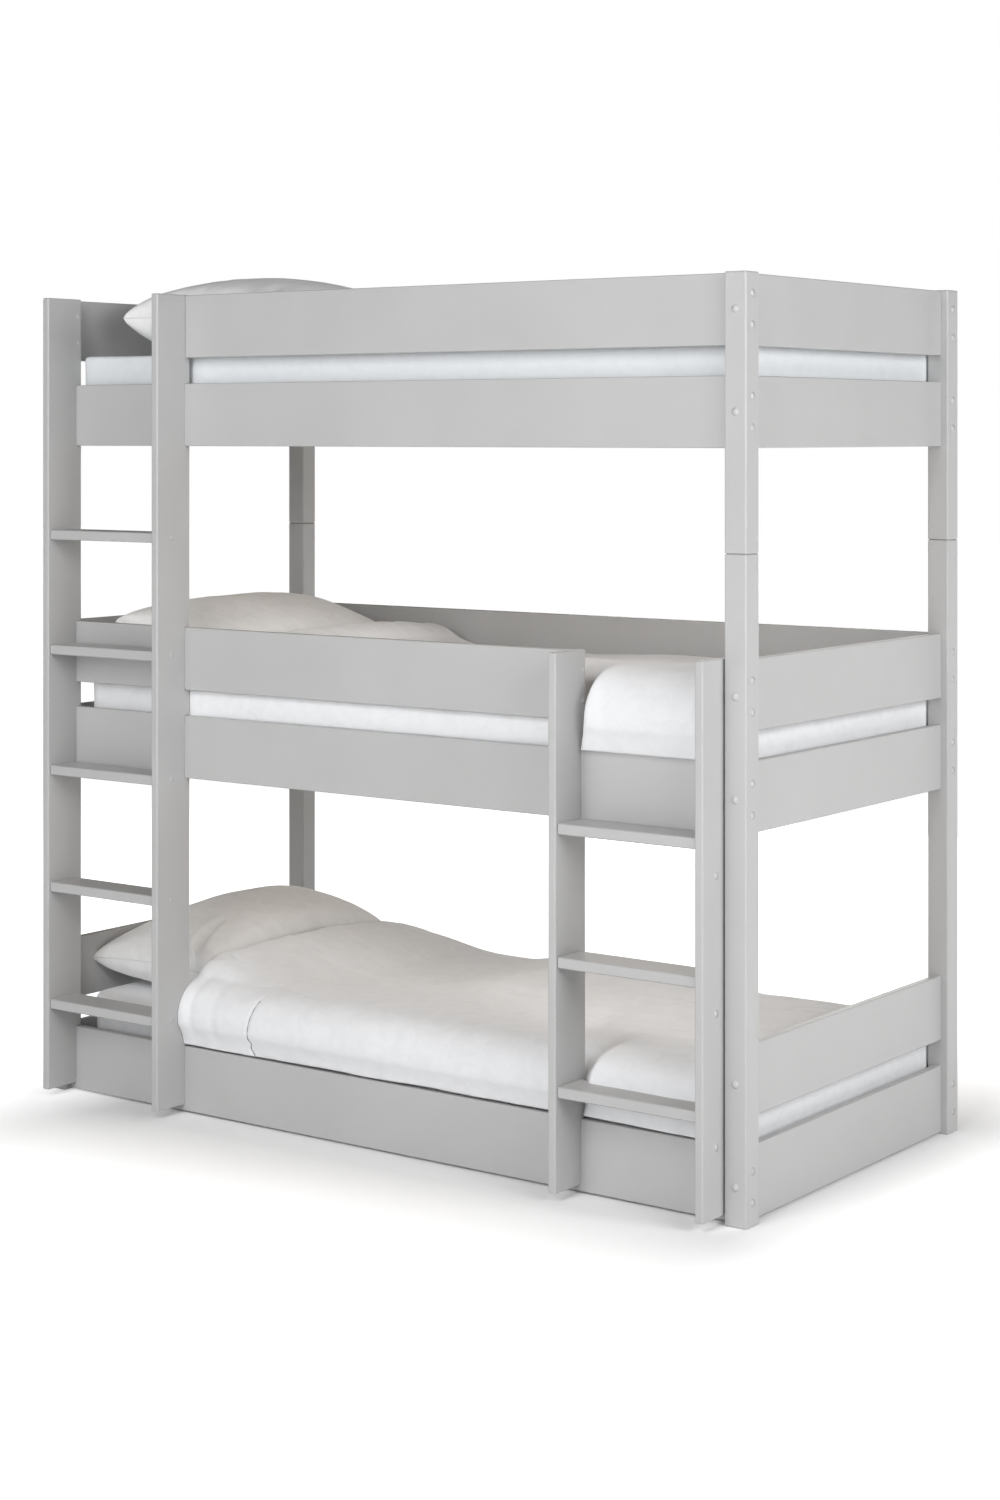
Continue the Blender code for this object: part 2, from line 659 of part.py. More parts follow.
def pillow_of(bunk):
    """Where a bunk's pillow lies, and how thick it is."""
    index = BUNKS.index(bunk)
    head_room = (BOTTOM_PILLOW_HEAD_ROOM, MIDDLE_PILLOW_HEAD_ROOM, TOP_PILLOW_HEAD_ROOM)[index]
    rise = (BOTTOM_PILLOW_RISE, MIDDLE_PILLOW_RISE, TOP_PILLOW_RISE)[index]
    loft = (BOTTOM_PILLOW_LOFT, MIDDLE_PILLOW_LOFT, TOP_PILLOW_LOFT)[index]
    width = TOP_PILLOW_WIDTH if bunk is TOP else SQUASHED_PILLOW_WIDTH
    x = RECESS_HEAD + head_room + width / 2
    y = MATTRESS_FRONT + PILLOW_FRONT_ROOM + PILLOW_LENGTH / 2
    return Pillow(x, y, bunk.mattress_top + rise, loft, width)


def pillow_half_thickness(pillow, u, v):
    """Half the pillow's thickness at shares u and v of its half width and half length."""
    fullness = max(0, (1 - u * u) * (1 - v * v)) ** PILLOW_SIDE_POWER
    return pillow.loft / 2 * fullness


def make_pillow(bunk):
    """A pillow: two crowned sheets that meet in a seam, with sides drawn in between corners."""
    pillow = pillow_of(bunk)
    floor = bunk.mattress_top + FIT_GAP - pillow.seam

    def draw_sheet(bm, sign):
        made = bmesh.ops.create_grid(bm, x_segments=PILLOW_CELLS[1], y_segments=PILLOW_CELLS[0],
                                     size=1)
        for vert in made["verts"]:
            u = math.sin(vert.co.x * math.pi / 2)
            v = math.sin(vert.co.y * math.pi / 2)
            rise = pillow_half_thickness(pillow, u, v)
            if sign < 0:
                rise = max(-rise * PILLOW_SAG_SHARE, floor)
            vert.co.x = pillow.width / 2 * u * (1 - PILLOW_PULL_SHARE * (1 - v * v))
            vert.co.y = PILLOW_LENGTH / 2 * v * (1 - PILLOW_PULL_SHARE * (1 - u * u))
            vert.co.z = rise
        if sign < 0:
            faces = list({face for vert in made["verts"] for face in vert.link_faces})
            bmesh.ops.reverse_faces(bm, faces=faces)

    def draw(bm):
        draw_sheet(bm, 1)
        draw_sheet(bm, -1)
        bmesh.ops.remove_doubles(bm, verts=bm.verts[:], dist=FIT_GAP / 3)

    made = join_scene(f"pillow_{bunk.name}", draw, PARTS, (pillow.x, pillow.y, pillow.seam))
    made.data.materials.append(PILLOW_COTTON)
    smooth(made, 1)


# Duvets

def duvet_rows(bunk, bulges):
    """The underside across the bed from rear to hem: a place, a height and the loft there."""
    rear = MATTRESS_REAR - DUVET_REAR_ROOM
    front = MATTRESS_FRONT - DUVET_SIDE_GAP
    fold = front + DUVET_BEND
    low = bunk.mattress_top + FIT_GAP
    hem = bunk.rail.high + DUVET_RAIL_GAP
    corner_loft = DUVET_CORNER_LOFT if bulges else DUVET_EDGE_LOFT
    front_loft = DUVET_FRONT_LOFT if bulges else DUVET_EDGE_LOFT
    rows = [(rear, low, DUVET_REAR_EDGE_LOFT), (rear - DUVET_BEND, low, DUVET_LOFT)]
    for share in DUVET_ROW_SHARES:
        rows.append((rear + (fold - rear) * share, low,
                     DUVET_LOFT + (DUVET_LIP_LOFT - DUVET_LOFT) * share))
    rows += [(front, low, corner_loft), (front, low - DUVET_BEND, front_loft),
             (front, (low - DUVET_BEND + hem) / 2, front_loft), (front, hem, front_loft)]
    return rows


def duvet_stations(start, end, open_spans):
    """Places along the bed where the duvet is shaped, and whether its front bulges there."""
    head_span = [start + DUVET_HEAD_SPAN * share for share in DUVET_STATION_SHARES]
    ladder = [SHORT_HEAD_SIDE[0] - DUVET_ROUNDING, SHORT_HEAD_SIDE[0] - DUVET_SIDE_ROOM,
              SHORT_HEAD_SIDE[1] + DUVET_SIDE_ROOM, SHORT_HEAD_SIDE[1] + DUVET_ROUNDING,
              SHORT_FOOT_SIDE[0] - DUVET_ROUNDING, SHORT_FOOT_SIDE[0] - DUVET_SIDE_ROOM]
    between = (head_span[-1] + ladder[0]) / 2
    places = head_span + [between] + ladder + [end]
    return [(x, any(low < x < high for low, high in open_spans)) for x in places]


def make_duvet(bunk, open_spans):
    """A duvet: a thick filled sheet over the mattress, with a raised end at the pillow."""
    pillow = pillow_of(bunk)
    start = pillow.x + pillow.width / 2 + DUVET_TO_PILLOW
    end = FOOT_FACE - DUVET_FOOT_ROOM
    stations = duvet_stations(start, end, open_spans)
    along = len(stations) - 1
    across = len(duvet_rows(bunk, True)) - 1
    lofts = []

    def loft_at(x, loft, index):
        if index > across - 4:
            return loft
        away = min(1, (x - start) / DUVET_HEAD_SPAN)
        raised = loft + max(0, DUVET_HEAD_LOFT - loft) * (1 + math.cos(math.pi * away)) / 2
        return raised * (DUVET_END_SHARE if x in (start, end) or index == 0 else 1)

    def draw(bm):
        made = bmesh.ops.create_grid(bm, x_segments=along, y_segments=across, size=1)
        for vert in made["verts"]:
            step = round((vert.co.x + 1) / 2 * along)
            index = across - round((vert.co.y + 1) / 2 * across)
            x, bulges = stations[step]
            y, z, loft = duvet_rows(bunk, bulges)[index]
            vert.co = (x, y, z)
            lofts.append(loft_at(x, loft, index))

    made = join_scene(f"duvet_{bunk.name}", draw, PARTS)
    made.data.materials.append(DUVET_COTTON)
    filling = made.vertex_groups.new(name="filling")
    for number, loft in enumerate(lofts):
        filling.add([number], loft / DUVET_HEAD_LOFT, "REPLACE")
    shell = made.modifiers.new("Filling", "SOLIDIFY")
    shell.thickness = DUVET_HEAD_LOFT
    shell.offset = 1
    shell.use_even_offset = False
    shell.vertex_group = filling.name
    smooth(made, 1)


def make_bedding():
    """Mattresses and pillows in each bunk, and duvets in the two lower ones."""
    for bunk in BUNKS:
        make_mattress(bunk)
        make_pillow(bunk)
    ladder_opening = (SHORT_HEAD_SIDE[1] + DUVET_BEND, SHORT_FOOT_SIDE[0] - DUVET_BEND)
    way_in = (TALL_FOOT_SIDE[1], SHORT_HEAD_SIDE[0] - DUVET_BEND)
    make_duvet(BOTTOM, (way_in, ladder_opening))
    make_duvet(MIDDLE, (ladder_opening,))


clear_scene()
PARTS = new_collection("triple_bunk_bed")
CUTTERS = new_collection("cutters")
BED = bpy.data.objects.new("bed_frame", None)
BED.location = (0, -DEPTH_MIDDLE, 0)
PARTS.objects.link(BED)
PAINT = frame_paint()
WOOD = slat_wood()
MATTRESS_COVER = mattress_cover()
PILLOW_COTTON = pillow_cotton()
DUVET_COTTON = duvet_cotton()
BOLTS = all_bolts()
make_posts()
make_long_boards()
make_end_boards()
make_ladders()
make_slat_bases()
make_bedding()
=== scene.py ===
"""Looks of the triple bunk bed: paint, mattresses, pillows, duvets, studio and camera.

X runs along the bed with the pillows at -X, the ladders stand on the -Y side and Z points up.
Lengths are in metres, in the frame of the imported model.
"""
import logging
import math
from dataclasses import dataclass, field
from enum import Enum
from typing import Sequence

import bmesh
import bpy
import numpy as np
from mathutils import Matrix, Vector, noise
from mathutils.bvhtree import BVHTree


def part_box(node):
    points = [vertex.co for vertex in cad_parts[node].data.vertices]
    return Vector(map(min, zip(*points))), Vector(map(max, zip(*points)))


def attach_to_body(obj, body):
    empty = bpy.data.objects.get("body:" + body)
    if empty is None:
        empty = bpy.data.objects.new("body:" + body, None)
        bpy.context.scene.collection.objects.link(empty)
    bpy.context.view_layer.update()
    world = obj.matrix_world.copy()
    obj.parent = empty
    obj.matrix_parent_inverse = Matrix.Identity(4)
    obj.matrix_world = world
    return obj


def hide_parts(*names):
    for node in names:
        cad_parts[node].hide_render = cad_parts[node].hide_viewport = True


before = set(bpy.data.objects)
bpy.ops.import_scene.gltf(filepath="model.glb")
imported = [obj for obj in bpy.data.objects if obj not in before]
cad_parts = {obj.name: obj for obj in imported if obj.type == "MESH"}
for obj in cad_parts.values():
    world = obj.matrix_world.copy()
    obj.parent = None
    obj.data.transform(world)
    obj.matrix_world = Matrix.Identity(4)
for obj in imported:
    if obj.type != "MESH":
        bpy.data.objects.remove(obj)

LOG = logging.getLogger("triple_bunk_bed")
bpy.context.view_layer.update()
MM = 0.001
TINY = 1e-9  # keeps divisions off zero
FRACTAL = (0.9, 2.1, 3)  # the noise's fall per octave, its rise in pitch, and its octaves
# Places along X of each ladder side's two faces, without the caps on them
LADDER_SIDE_FACES = {"tall_ladder_side_foot": (-0.5935, -0.5735),
                     "short_ladder_side_head": (0.5735, 0.5935),
                     "short_ladder_side_foot": (0.9435, 0.9635)}

# Short names for types
Array = np.ndarray
Material = bpy.types.Material
Piece = bpy.types.Object
Triple = tuple[float, float, float]
Line = tuple[tuple[float, float], ...]
Tones = tuple[tuple[float, str], ...]


class Bunk(Enum):
    """The three sleeping places, from the floor up."""

    BOTTOM = "bottom"
    MIDDLE = "middle"
    TOP = "top"


# Nodes of materials

def hex_to_linear(code: str) -> tuple[float, float, float, float]:
    """Turn an sRGB hex colour into linear values with full alpha.

    Args:
        code: Six hex digits, such as "C8CACA".

    Returns:
        Linear red, green, blue and alpha.
    """
    channels = [int(code[place:place + 2], 16) / 255 for place in (0, 2, 4)]
    linear = [value / 12.92 if value <= 0.04045 else ((value + 0.055) / 1.055) ** 2.4
              for value in channels]
    return (*linear, 1.0)


def set_node(node: bpy.types.Node, settings: dict, links: dict) -> None:
    """Give a node its settings and feed its input sockets.

    Args:
        node: The node.
        settings: Attributes of the node, values of its input sockets, and the stops of a ramp
            as places with hex colours.
        links: Input sockets with the output socket that feeds each, or with a node whose first
            output does.
    """
    for key, value in settings.items():
        if key == "stops":
            for stop, (place, code) in zip(node.color_ramp.elements, value):
                stop.position, stop.color = place, hex_to_linear(code)
        elif isinstance(key, str) and hasattr(node, key):
            setattr(node, key, value)
        else:
            node.inputs[key].default_value = value
    for key, source in links.items():
        socket = source.outputs[0] if isinstance(source, bpy.types.Node) else source
        node.id_data.links.new(socket, node.inputs[key])


def add_node(tree: bpy.types.NodeTree, kind: str, settings: dict | None = None,
             links: dict | None = None) -> bpy.types.Node:
    """Add a node with its settings and links.

    Args:
        tree: The node tree that takes the node.
        kind: The node's type name, without the leading ShaderNode.
        settings: The settings that set_node gives it.
        links: The links that set_node gives it.

    Returns:
        The new node.
    """
    node = tree.nodes.new(f"ShaderNode{kind}")
    set_node(node, settings or {}, links or {})
    return node


def new_material(name: str) -> tuple:
    """Make a material with a Principled shader.

    Args:
        name: The material's name.

    Returns:
        The material, its node tree, its shader, and the coordinates of its patterns.
    """
    material = bpy.data.materials.new(name)
    material.use_nodes = True
    tree = material.node_tree
    place = add_node(tree, "TexCoord").outputs["Object"]
    return material, tree, tree.nodes["Principled BSDF"], place


@dataclass(frozen=True)
class SprayedLacquer:
    """Pigmented acid-cured lacquer, sprayed on sanded wood and board.

    It gives the eye an even, neutral light grey with a satin sheen, a trace of spray
    texture and sanding marks, and soft light along every eased edge.
    """

    name: str = "sprayed_grey_lacquer"
    tones: Tones = ((0.30, "B5B5B5"), (0.70, "B9B9B9"))
    gloss_range: tuple[float, float] = (0.38, 0.48)
    coat_weight: float = 0.08
    coat_roughness: float = 0.35
    spray_pitch_mm: float = 3.0
    spray_depth_mm: float = 0.2
    spray_strength: float = 0.05
    mottle_pitch_mm: float = 240.0
    edge_radius_mm: float = 2.2
    edge_samples: int = 4

    def build(self) -> Material:
        """Make the material.

        Returns:
            The lacquer's material.
        """
        material, tree, shader, place = new_material(self.name)
        mottle = add_node(tree, "TexNoise", {"Scale": 1 / (self.mottle_pitch_mm * MM),
                                             "Detail": 3.0}, {"Vector": place})
        tone = add_node(tree, "ValToRGB", {"stops": self.tones}, {"Fac": mottle})
        gloss = add_node(tree, "MapRange", {"To Min": self.gloss_range[0],
                                            "To Max": self.gloss_range[1]}, {"Value": mottle})
        edge = add_node(tree, "Bevel", {"samples": self.edge_samples,
                                        "Radius": self.edge_radius_mm * MM})
        spray = add_node(tree, "TexNoise", {"Scale": 1 / (self.spray_pitch_mm * MM),
                                            "Detail": 2.0}, {"Vector": place})
        bump = add_node(tree, "Bump", {"Strength": self.spray_strength,
                                       "Distance": self.spray_depth_mm * MM},
                        {"Height": spray, "Normal": edge})
        set_node(shader, {"IOR": 1.5, "Coat Weight": self.coat_weight,
                          "Coat Roughness": self.coat_roughness},
                 {"Base Color": tone, "Roughness": gloss, "Normal": bump})
        return material


@dataclass(frozen=True)
class CapPlastic:
    """Injection-moulded polypropylene of the push-in bolt caps, coloured to match the lacquer.

    It gives the eye a small dome as grey as the lacquer. Its rim is drawn darker where its side
    turns away from the eye: painted shade, standing in for the shadow in the joint between cap
    and wood.
    """

    name: str = "moulded_grey_polypropylene"
    # The second tone is painted shade, drawn on the rim where it turns away from the eye.
    tones: Tones = ((0.36, "BABABA"), (0.74, "7E7E7E"))
    roughness: float = 0.34
    grain_pitch_mm: float = 0.9
    grain_depth_mm: float = 0.1
    grain_strength: float = 0.08

    def build(self) -> Material:
        """Make the material.

        Returns:
            The caps' material.
        """
        material, tree, shader, place = new_material(self.name)
        grain = add_node(tree, "TexNoise", {"Scale": 1 / (self.grain_pitch_mm * MM)},
                         {"Vector": place})
        bump = add_node(tree, "Bump", {"Strength": self.grain_strength,
                                       "Distance": self.grain_depth_mm * MM}, {"Height": grain})
        # Painted shade: the rim darkens as its surface turns away from the eye.
        painted_rim_shade = add_node(tree, "LayerWeight", {"Blend": 0.5})
        tone = add_node(tree, "ValToRGB", {"stops": self.tones},
                        {"Fac": painted_rim_shade.outputs["Facing"]})
        set_node(shader, {"IOR": 1.49, "Roughness": self.roughness},
                 {"Base Color": tone, "Normal": bump})
        return material


@dataclass(frozen=True)
class PlanedPine:
    """Planed Scots pine of the slats and dowels, left bare.

    It gives the eye a pale straw colour with darker growth lines along the piece.
    """

    name: str = "planed_pine"
    tones: Tones = ((0.38, "C39B66"), (0.58, "DCC29A"))
    roughness: float = 0.62
    ring_pitch_mm: float = 9.0
    ring_depth_mm: float = 0.3
    ring_strength: float = 0.2
    ring_waviness: float = 0.4
    stretch: Triple = (1.0, 0.06, 1.0)

    def build(self) -> Material:
        """Make the material.

        Returns:
            The pine's material.
        """
        material, tree, shader, place = new_material(self.name)
        along = add_node(tree, "Mapping", {"Scale": self.stretch}, {"Vector": place})
        rings = add_node(tree, "TexNoise", {"Scale": 1 / (self.ring_pitch_mm * MM), "Detail": 5.0,
                                            "Distortion": self.ring_waviness}, {"Vector": along})
        tone = add_node(tree, "ValToRGB", {"stops": self.tones}, {"Fac": rings})
        bump = add_node(tree, "Bump", {"Strength": self.ring_strength,
                                       "Distance": self.ring_depth_mm * MM}, {"Height": rings})
        set_node(shader, {"Roughness": self.roughness}, {"Base Color": tone, "Normal": bump})
        return material


@dataclass(frozen=True)
class WovenCotton:
    """Plain-weave cotton, washed and lightly ironed.

    It gives the eye a matt white with a soft edge sheen, fine crumples and a thread texture.
    The real threads lie 0.35 mm apart, too fine to show, so they are drawn three times as coarse.
    """

    name: str
    colour: str = "EAEBED"
    shade_colour: str = "E5E6E8"
    tone_places: tuple[float, float] = (0.30, 0.60)
    roughness: float = 0.88
    sheen_weight: float = 0.12
    sheen_roughness: float = 0.45
    thread_pitch_mm: float = 1.1
    thread_depth_mm: float = 0.15
    thread_strength: float = 0.12
    crumple_pitch_mm: float = 38.0
    crumple_height_mm: float = 1.6
    crumple_strength: float = 0.22

    def build(self) -> Material:
        """Make the material.

        Returns:
            The cotton's material.
        """
        material, tree, shader, place = new_material(self.name)
        crumple = add_node(tree, "TexNoise", {"Scale": 1 / (self.crumple_pitch_mm * MM),
                                              "Detail": 4.0, "Roughness": 0.5,
                                              "Distortion": 0.9}, {"Vector": place})
        stops = tuple(zip(self.tone_places, (self.shade_colour, self.colour)))
        tone = add_node(tree, "ValToRGB", {"stops": stops}, {"Fac": crumple})
        weave = None
        for direction in ("X", "Y", "Z"):
            # The wave node draws a band every 0.314 of its own units.
            threads = add_node(tree, "TexWave", {"wave_type": "BANDS",
                                                 "bands_direction": direction,
                                                 "Scale": 0.314 / (self.thread_pitch_mm * MM),
                                                 "Distortion": 0.6, "Detail": 1.0},
                               {"Vector": place}).outputs["Fac"]
            weave = threads if weave is None else add_node(tree, "Math", {"operation": "ADD"},
                                                           {0: weave, 1: threads})
        fine = add_node(tree, "Bump", {"Strength": self.thread_strength,
                                       "Distance": self.thread_depth_mm * MM}, {"Height": weave})
        soft = add_node(tree, "Bump", {"Strength": self.crumple_strength,
                                       "Distance": self.crumple_height_mm * MM},
                        {"Height": crumple, "Normal": fine})
        set_node(shader, {"Roughness": self.roughness, "Sheen Weight": self.sheen_weight,
                          "Sheen Roughness": self.sheen_roughness, "Specular IOR Level": 0.25},
                 {"Base Color": tone, "Normal": soft})
        return material


# Mesh work shared by the pieces

def in_scene(name: str, data: bpy.types.ID) -> Piece:
    """Make an object of a mesh, curve, lamp or camera, and put it into the scene.

    Args:
        name: The object's name.
        data: What it shows.

    Returns:
        The object.
    """
    made = bpy.data.objects.new(name, data)
    bpy.context.scene.collection.objects.link(made)
    return made


def object_from(name: str, vertices: Sequence, faces: Sequence) -> Piece:
    """Make a mesh object in the scene.

    Args:
        name: The object's name.
        vertices: Its points.
        faces: Its faces, as tuples of vertex indices.

    Returns:
        The object.
    """
    mesh = bpy.data.meshes.new(name)
    mesh.from_pydata(np.array(vertices, float), [], [[*map(int, face)] for face in faces])
    mesh.validate()
    return in_scene(name, mesh)


def points_of(piece: Piece) -> Array:
    """Read a mesh's vertices.

    Args:
        piece: The mesh object.

    Returns:
        An array of shape (count, 3).
    """
    points = np.empty(len(piece.data.vertices) * 3)
    piece.data.vertices.foreach_get("co", points)
    return points.reshape(-1, 3)


def move_points(piece: Piece, points: Array) -> None:
    """Write new places into a mesh's vertices."""
    piece.data.vertices.foreach_set("co", points.ravel())
    piece.data.update()


def bake_modifiers(piece: Piece) -> None:
    """Apply all modifiers of a piece to its mesh.

    Args:
        piece: The mesh object.
    """
    graph = bpy.context.evaluated_depsgraph_get()
    baked = bpy.data.meshes.new_from_object(piece.evaluated_get(graph))
    piece.modifiers.clear()
    old = piece.data
    piece.data = baked
    bpy.data.meshes.remove(old)


def weld(piece: Piece, distance: float) -> None:
    """Join vertices that lie close together, and turn all faces outwards.

    Args:
        piece: The mesh object.
        distance: Vertices that lie closer than this are joined.
    """
    bm = bmesh.new()
    bm.from_mesh(piece.data)
    bmesh.ops.remove_doubles(bm, verts=bm.verts[:], dist=distance)
    bmesh.ops.recalc_face_normals(bm, faces=bm.faces[:])
    bm.to_mesh(piece.data)
    bm.free()


def grid_faces(columns: int, rows: int, start: int = 0, flip: bool = False) -> list[tuple]:
    """List the quads of a grid of columns by rows vertices.

    Args:
        columns: Vertices along the fast direction.
        rows: Vertices along the slow direction.
        start: Index of the grid's first vertex.
        flip: Whether the quads face the other way.

    Returns:
        The quads as tuples of vertex indices.
    """
    corners = [start + row * columns + column
               for row in range(rows - 1) for column in range(columns - 1)]
    quads = [(corner, corner + 1, corner + 1 + columns, corner + columns) for corner in corners]
    return [quad[::-1] for quad in quads] if flip else quads


def smooth_step(share: Array) -> Array:
    """Ease a share from 0 to 1 with flat ends."""
    held = np.clip(share, 0, 1)
    return held * held * (3 - 2 * held)


def round_off(distance: Array, radius: float) -> Array:
    """Return a quarter circle's height share at a distance inside an edge."""
    held = np.clip(distance / radius, 0, 1)
    return np.sqrt(np.maximum(0, 1 - (1 - held) ** 2))


def push_past(places: Array, chosen: Array, least: float) -> None:
    """Raise the chosen places to at least a value, in the array itself."""
    places[chosen] = np.maximum(places[chosen], least)


@dataclass(frozen=True)
class Filling:
    """How hard a sewn case is stuffed, for the cloth simulation."""

    pressure: float = 4.0
    most_swelling: float = 0.005
    frames: int = 12
    settings: tuple[tuple[str, float], ...] = (
        ("shrink_min", -0.01), ("quality", 4), ("mass", 0.25), ("tension_stiffness", 18),
        ("compression_stiffness", 18), ("shear_stiffness", 6), ("bending_stiffness", 0.25))

    def fill(self, piece: Piece) -> None:
        """Stuff a closed piece: let its cloth swell and crease, with a cap on how far.

        Args:
            piece: A closed mesh of even vertices.
        """
        scene = bpy.context.scene
        before = points_of(piece)
        cloth = piece.modifiers.new("Cloth", "CLOTH")
        for key, value in self.settings:
            setattr(cloth.settings, key, value)
        cloth.settings.use_pressure = True
        cloth.settings.uniform_pressure_force = self.pressure
        cloth.settings.effector_weights.gravity = 0
        cloth.collision_settings.use_collision = False
        cloth.point_cache.frame_start = 1
        cloth.point_cache.frame_end = self.frames
        for number in range(1, self.frames + 1):
            scene.frame_set(number)
        bake_modifiers(piece)
        scene.frame_set(1)
        step = points_of(piece) - before
        reach = np.linalg.norm(step, axis=1, keepdims=True)
        share = np.minimum(1, self.most_swelling / np.maximum(reach, TINY))
        move_points(piece, before + step * share)


def smooth_finish(piece: Piece) -> None:
    """Shade a soft piece smooth and subdivide it once.

    Args:
        piece: The mesh object.
    """
    piece.data.shade_smooth()
    subdivision = piece.modifiers.new("Soft", "SUBSURF")
    subdivision.levels = 1
    subdivision.render_levels = 1


def soft_noise(points: Array, pitch: Sequence[float], seed: float) -> Array:
    """Evaluate smooth noise at points, stretched to a pitch along each axis.

    Args:
        points: Array of shape (count, 3), in metres.
        pitch: Size of a lump along X, Y and Z, in metres.
        seed: Offset that picks the pattern.

    Returns:
        One value per point, about -1 to 1.
    """
    scaled = points / np.array(pitch) + seed
    return np.array([noise.fractal(Vector(place), *FRACTAL) for place in scaled])


def seam_and_shade_cord(name: str, piece: Piece, path: Sequence, radius: float, closed: bool,
              material: Material) -> Piece:
    """Lay a thin cord on a piece's surface along a path near it. It draws the sewn seams, and the
    dark cord of painted shade in the bottom duvet's crease.

    Args:
        name: The new piece's name.
        piece: The piece that carries the seam.
        path: Points near the surface.
        radius: The cord's radius.
        closed: Whether the path is a ring.
        material: The cord's material.

    Returns:
        The cord, a curve object.
    """
    tree = BVHTree.FromObject(piece, bpy.context.evaluated_depsgraph_get())
    places = [tree.find_nearest(Vector(point))[0] for point in path]
    curve = bpy.data.curves.new(name, "CURVE")
    curve.dimensions = "3D"
    curve.bevel_depth = radius
    curve.bevel_resolution = 2
    spline = curve.splines.new("POLY")
    spline.points.add(len(places) - 1)
    spline.use_cyclic_u = closed
    for point, place in zip(spline.points, places):
        point.co = (*place, 1)
    curve.materials.append(material)
    return in_scene(name, curve)


def attach(piece: Piece) -> None:
    """Let a piece ride on the bed's one body, and report it.

    Args:
        piece: The piece.
    """
    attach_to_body(piece, "root")
    LOG.info("made %s", piece.name)


def stand_in(piece: Piece, node: str) -> None:
    """Let a filled piece take the place of its CAD solid.

    Args:
        piece: The piece.
        node: The CAD solid's node.
    """
    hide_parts(node)
    attach(piece)


# Sub-assemblies

@dataclass
class DressedNodes:
    """CAD nodes that keep their shape and take one finish."""

    finish: SprayedLacquer | PlanedPine
    prefixes: tuple[str, ...]

    def build(self) -> int:
        """Dress every node whose name starts with one of the prefixes.

        Returns:
            How many nodes were dressed.
        """
        material = self.finish.build()
        names = [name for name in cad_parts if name.startswith(self.prefixes)]
        for name in names:
            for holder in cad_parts[name].material_slots:
                holder.link = "OBJECT"
                holder.material = material
            LOG.info("dressed %s", name)
        return len(names)


@dataclass
class PaintedFrame(DressedNodes):
    """Posts, boards and ladders, which take the lacquer."""

    finish: SprayedLacquer = field(default_factory=SprayedLacquer)
    prefixes: tuple[str, ...] = ("post_lower", "post_upper", "rail", "guard", "board",
                                 "tall_ladder", "short_ladder")


@dataclass
class BareTimber(DressedNodes):
    """Slatted bases and post dowels, which stay bare pine."""

    finish: PlanedPine = field(default_factory=PlanedPine)
    prefixes: tuple[str, ...] = ("slat_base", "post_dowel")


@dataclass
class BoltCaps:
    """Push-in caps over the bolt heads, rounder than the frame's own and fitted over them."""

    plastic: CapPlastic = field(default_factory=CapPlastic)
    prefixes: tuple[str, ...] = ("post_lower", "post_upper", "tall_ladder_side",
                                 "short_ladder_side")
    radius: float = 0.0086
    rise: float = 0.0044
    cover: float = 0.0011
    # These find the frame's own caps among a node's points.
    crown_depth: float = 0.0012
    top_share: float = 0.1
    head_radius: float = 0.00805
    edge_room: float = 0.010
    centre_slack: float = 0.0006
    sides: int = 32
    rings: int = 7
    weld_gap: float = 0.02 * MM

    def build(self) -> int:
        """Fit a cap over every bolt head on the posts and the ladder sides.

        Returns:
            How many caps were fitted.
        """
        material = self.plastic.build()
        total = 0
        for name in sorted(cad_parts):
            places = self.caps_of(name) if name.startswith(self.prefixes) else []
            if not places:
                continue
            piece = self.domes(f"caps_{name}", places)
            piece.data.materials.append(material)
            piece.data.shade_smooth()
            attach(piece)
            total += len(places)
        return total

    def caps_of(self, name: str) -> list[tuple[Array, int, int]]:
        """Find a node's bolt caps: small domes that stand highest on a face.

        Args:
            name: The CAD node's name.

        Returns:
            Each cap's highest point, the axis that it faces along, and its sign.
        """
        points = points_of(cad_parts[name])
        low, high = points.min(axis=0), points.max(axis=0)
        places = []
        for axis in (0, 1):
            others = [other for other in range(3) if other != axis]
            for sign, reach in ((-1, low[axis]), (1, high[axis])):
                near = points[np.abs(points[:, axis] - reach) < self.crown_depth]
                tops = near[np.abs(near[:, axis] - reach) < self.crown_depth * self.top_share]
                for top in tops:
                    inside = np.all((top[others] - low[others] > self.edge_room)
                                    & (high[others] - top[others] > self.edge_room))
                    apart = np.linalg.norm(near[:, others] - top[others], axis=1)
                    ring = near[apart < self.head_radius]
                    centred = np.linalg.norm((ring.mean(axis=0) - top)[others]) < self.centre_slack
                    if inside and centred and len(ring) > self.rings:
                        places.append((top, axis, sign))
        return places

    def domes(self, name: str, places: Sequence) -> Piece:
        """Turn one dome over each place.

        Args:
            name: The new piece's name.
            places: Highest point, axis and sign of each cap.

        Returns:
            The piece that holds the domes.
        """
        lifts = np.repeat(np.arange(self.rings) / self.rings * math.pi / 2, self.sides)
        turns = np.tile(np.arange(self.sides) / self.sides * math.tau, self.rings)
        flat = self.radius * np.cos(lifts)
        dome = np.column_stack([flat * np.cos(turns), flat * np.sin(turns),
                                self.rise * np.sin(lifts)])
        dome = np.vstack([dome, (0, 0, self.rise)]) - (0, 0, self.rise - self.cover)
        around = [(side, (side + 1) % self.sides) for side in range(self.sides)]
        last = (self.rings - 1) * self.sides
        shell = [(low + side, low + after, low + self.sides + after, low + self.sides + side)
                 for low in range(0, last, self.sides) for side, after in around]
        shell += [(last + side, last + after, last + self.sides) for side, after in around]
        shell.append(tuple(range(self.sides - 1, -1, -1)))
        vertices, faces = [], []
        for top, axis, sign in places:
            first, second = [other for other in range(3) if other != axis]
            faces += [tuple(len(vertices) + corner for corner in face) for face in shell]
            cap = np.tile(top, (len(dome), 1))
            cap[:, [first, second]] += dome[:, :2]
            cap[:, axis] += sign * dome[:, 2]
            vertices.extend(cap)
        piece = object_from(name, vertices, faces)
        weld(piece, self.weld_gap)
        return piece


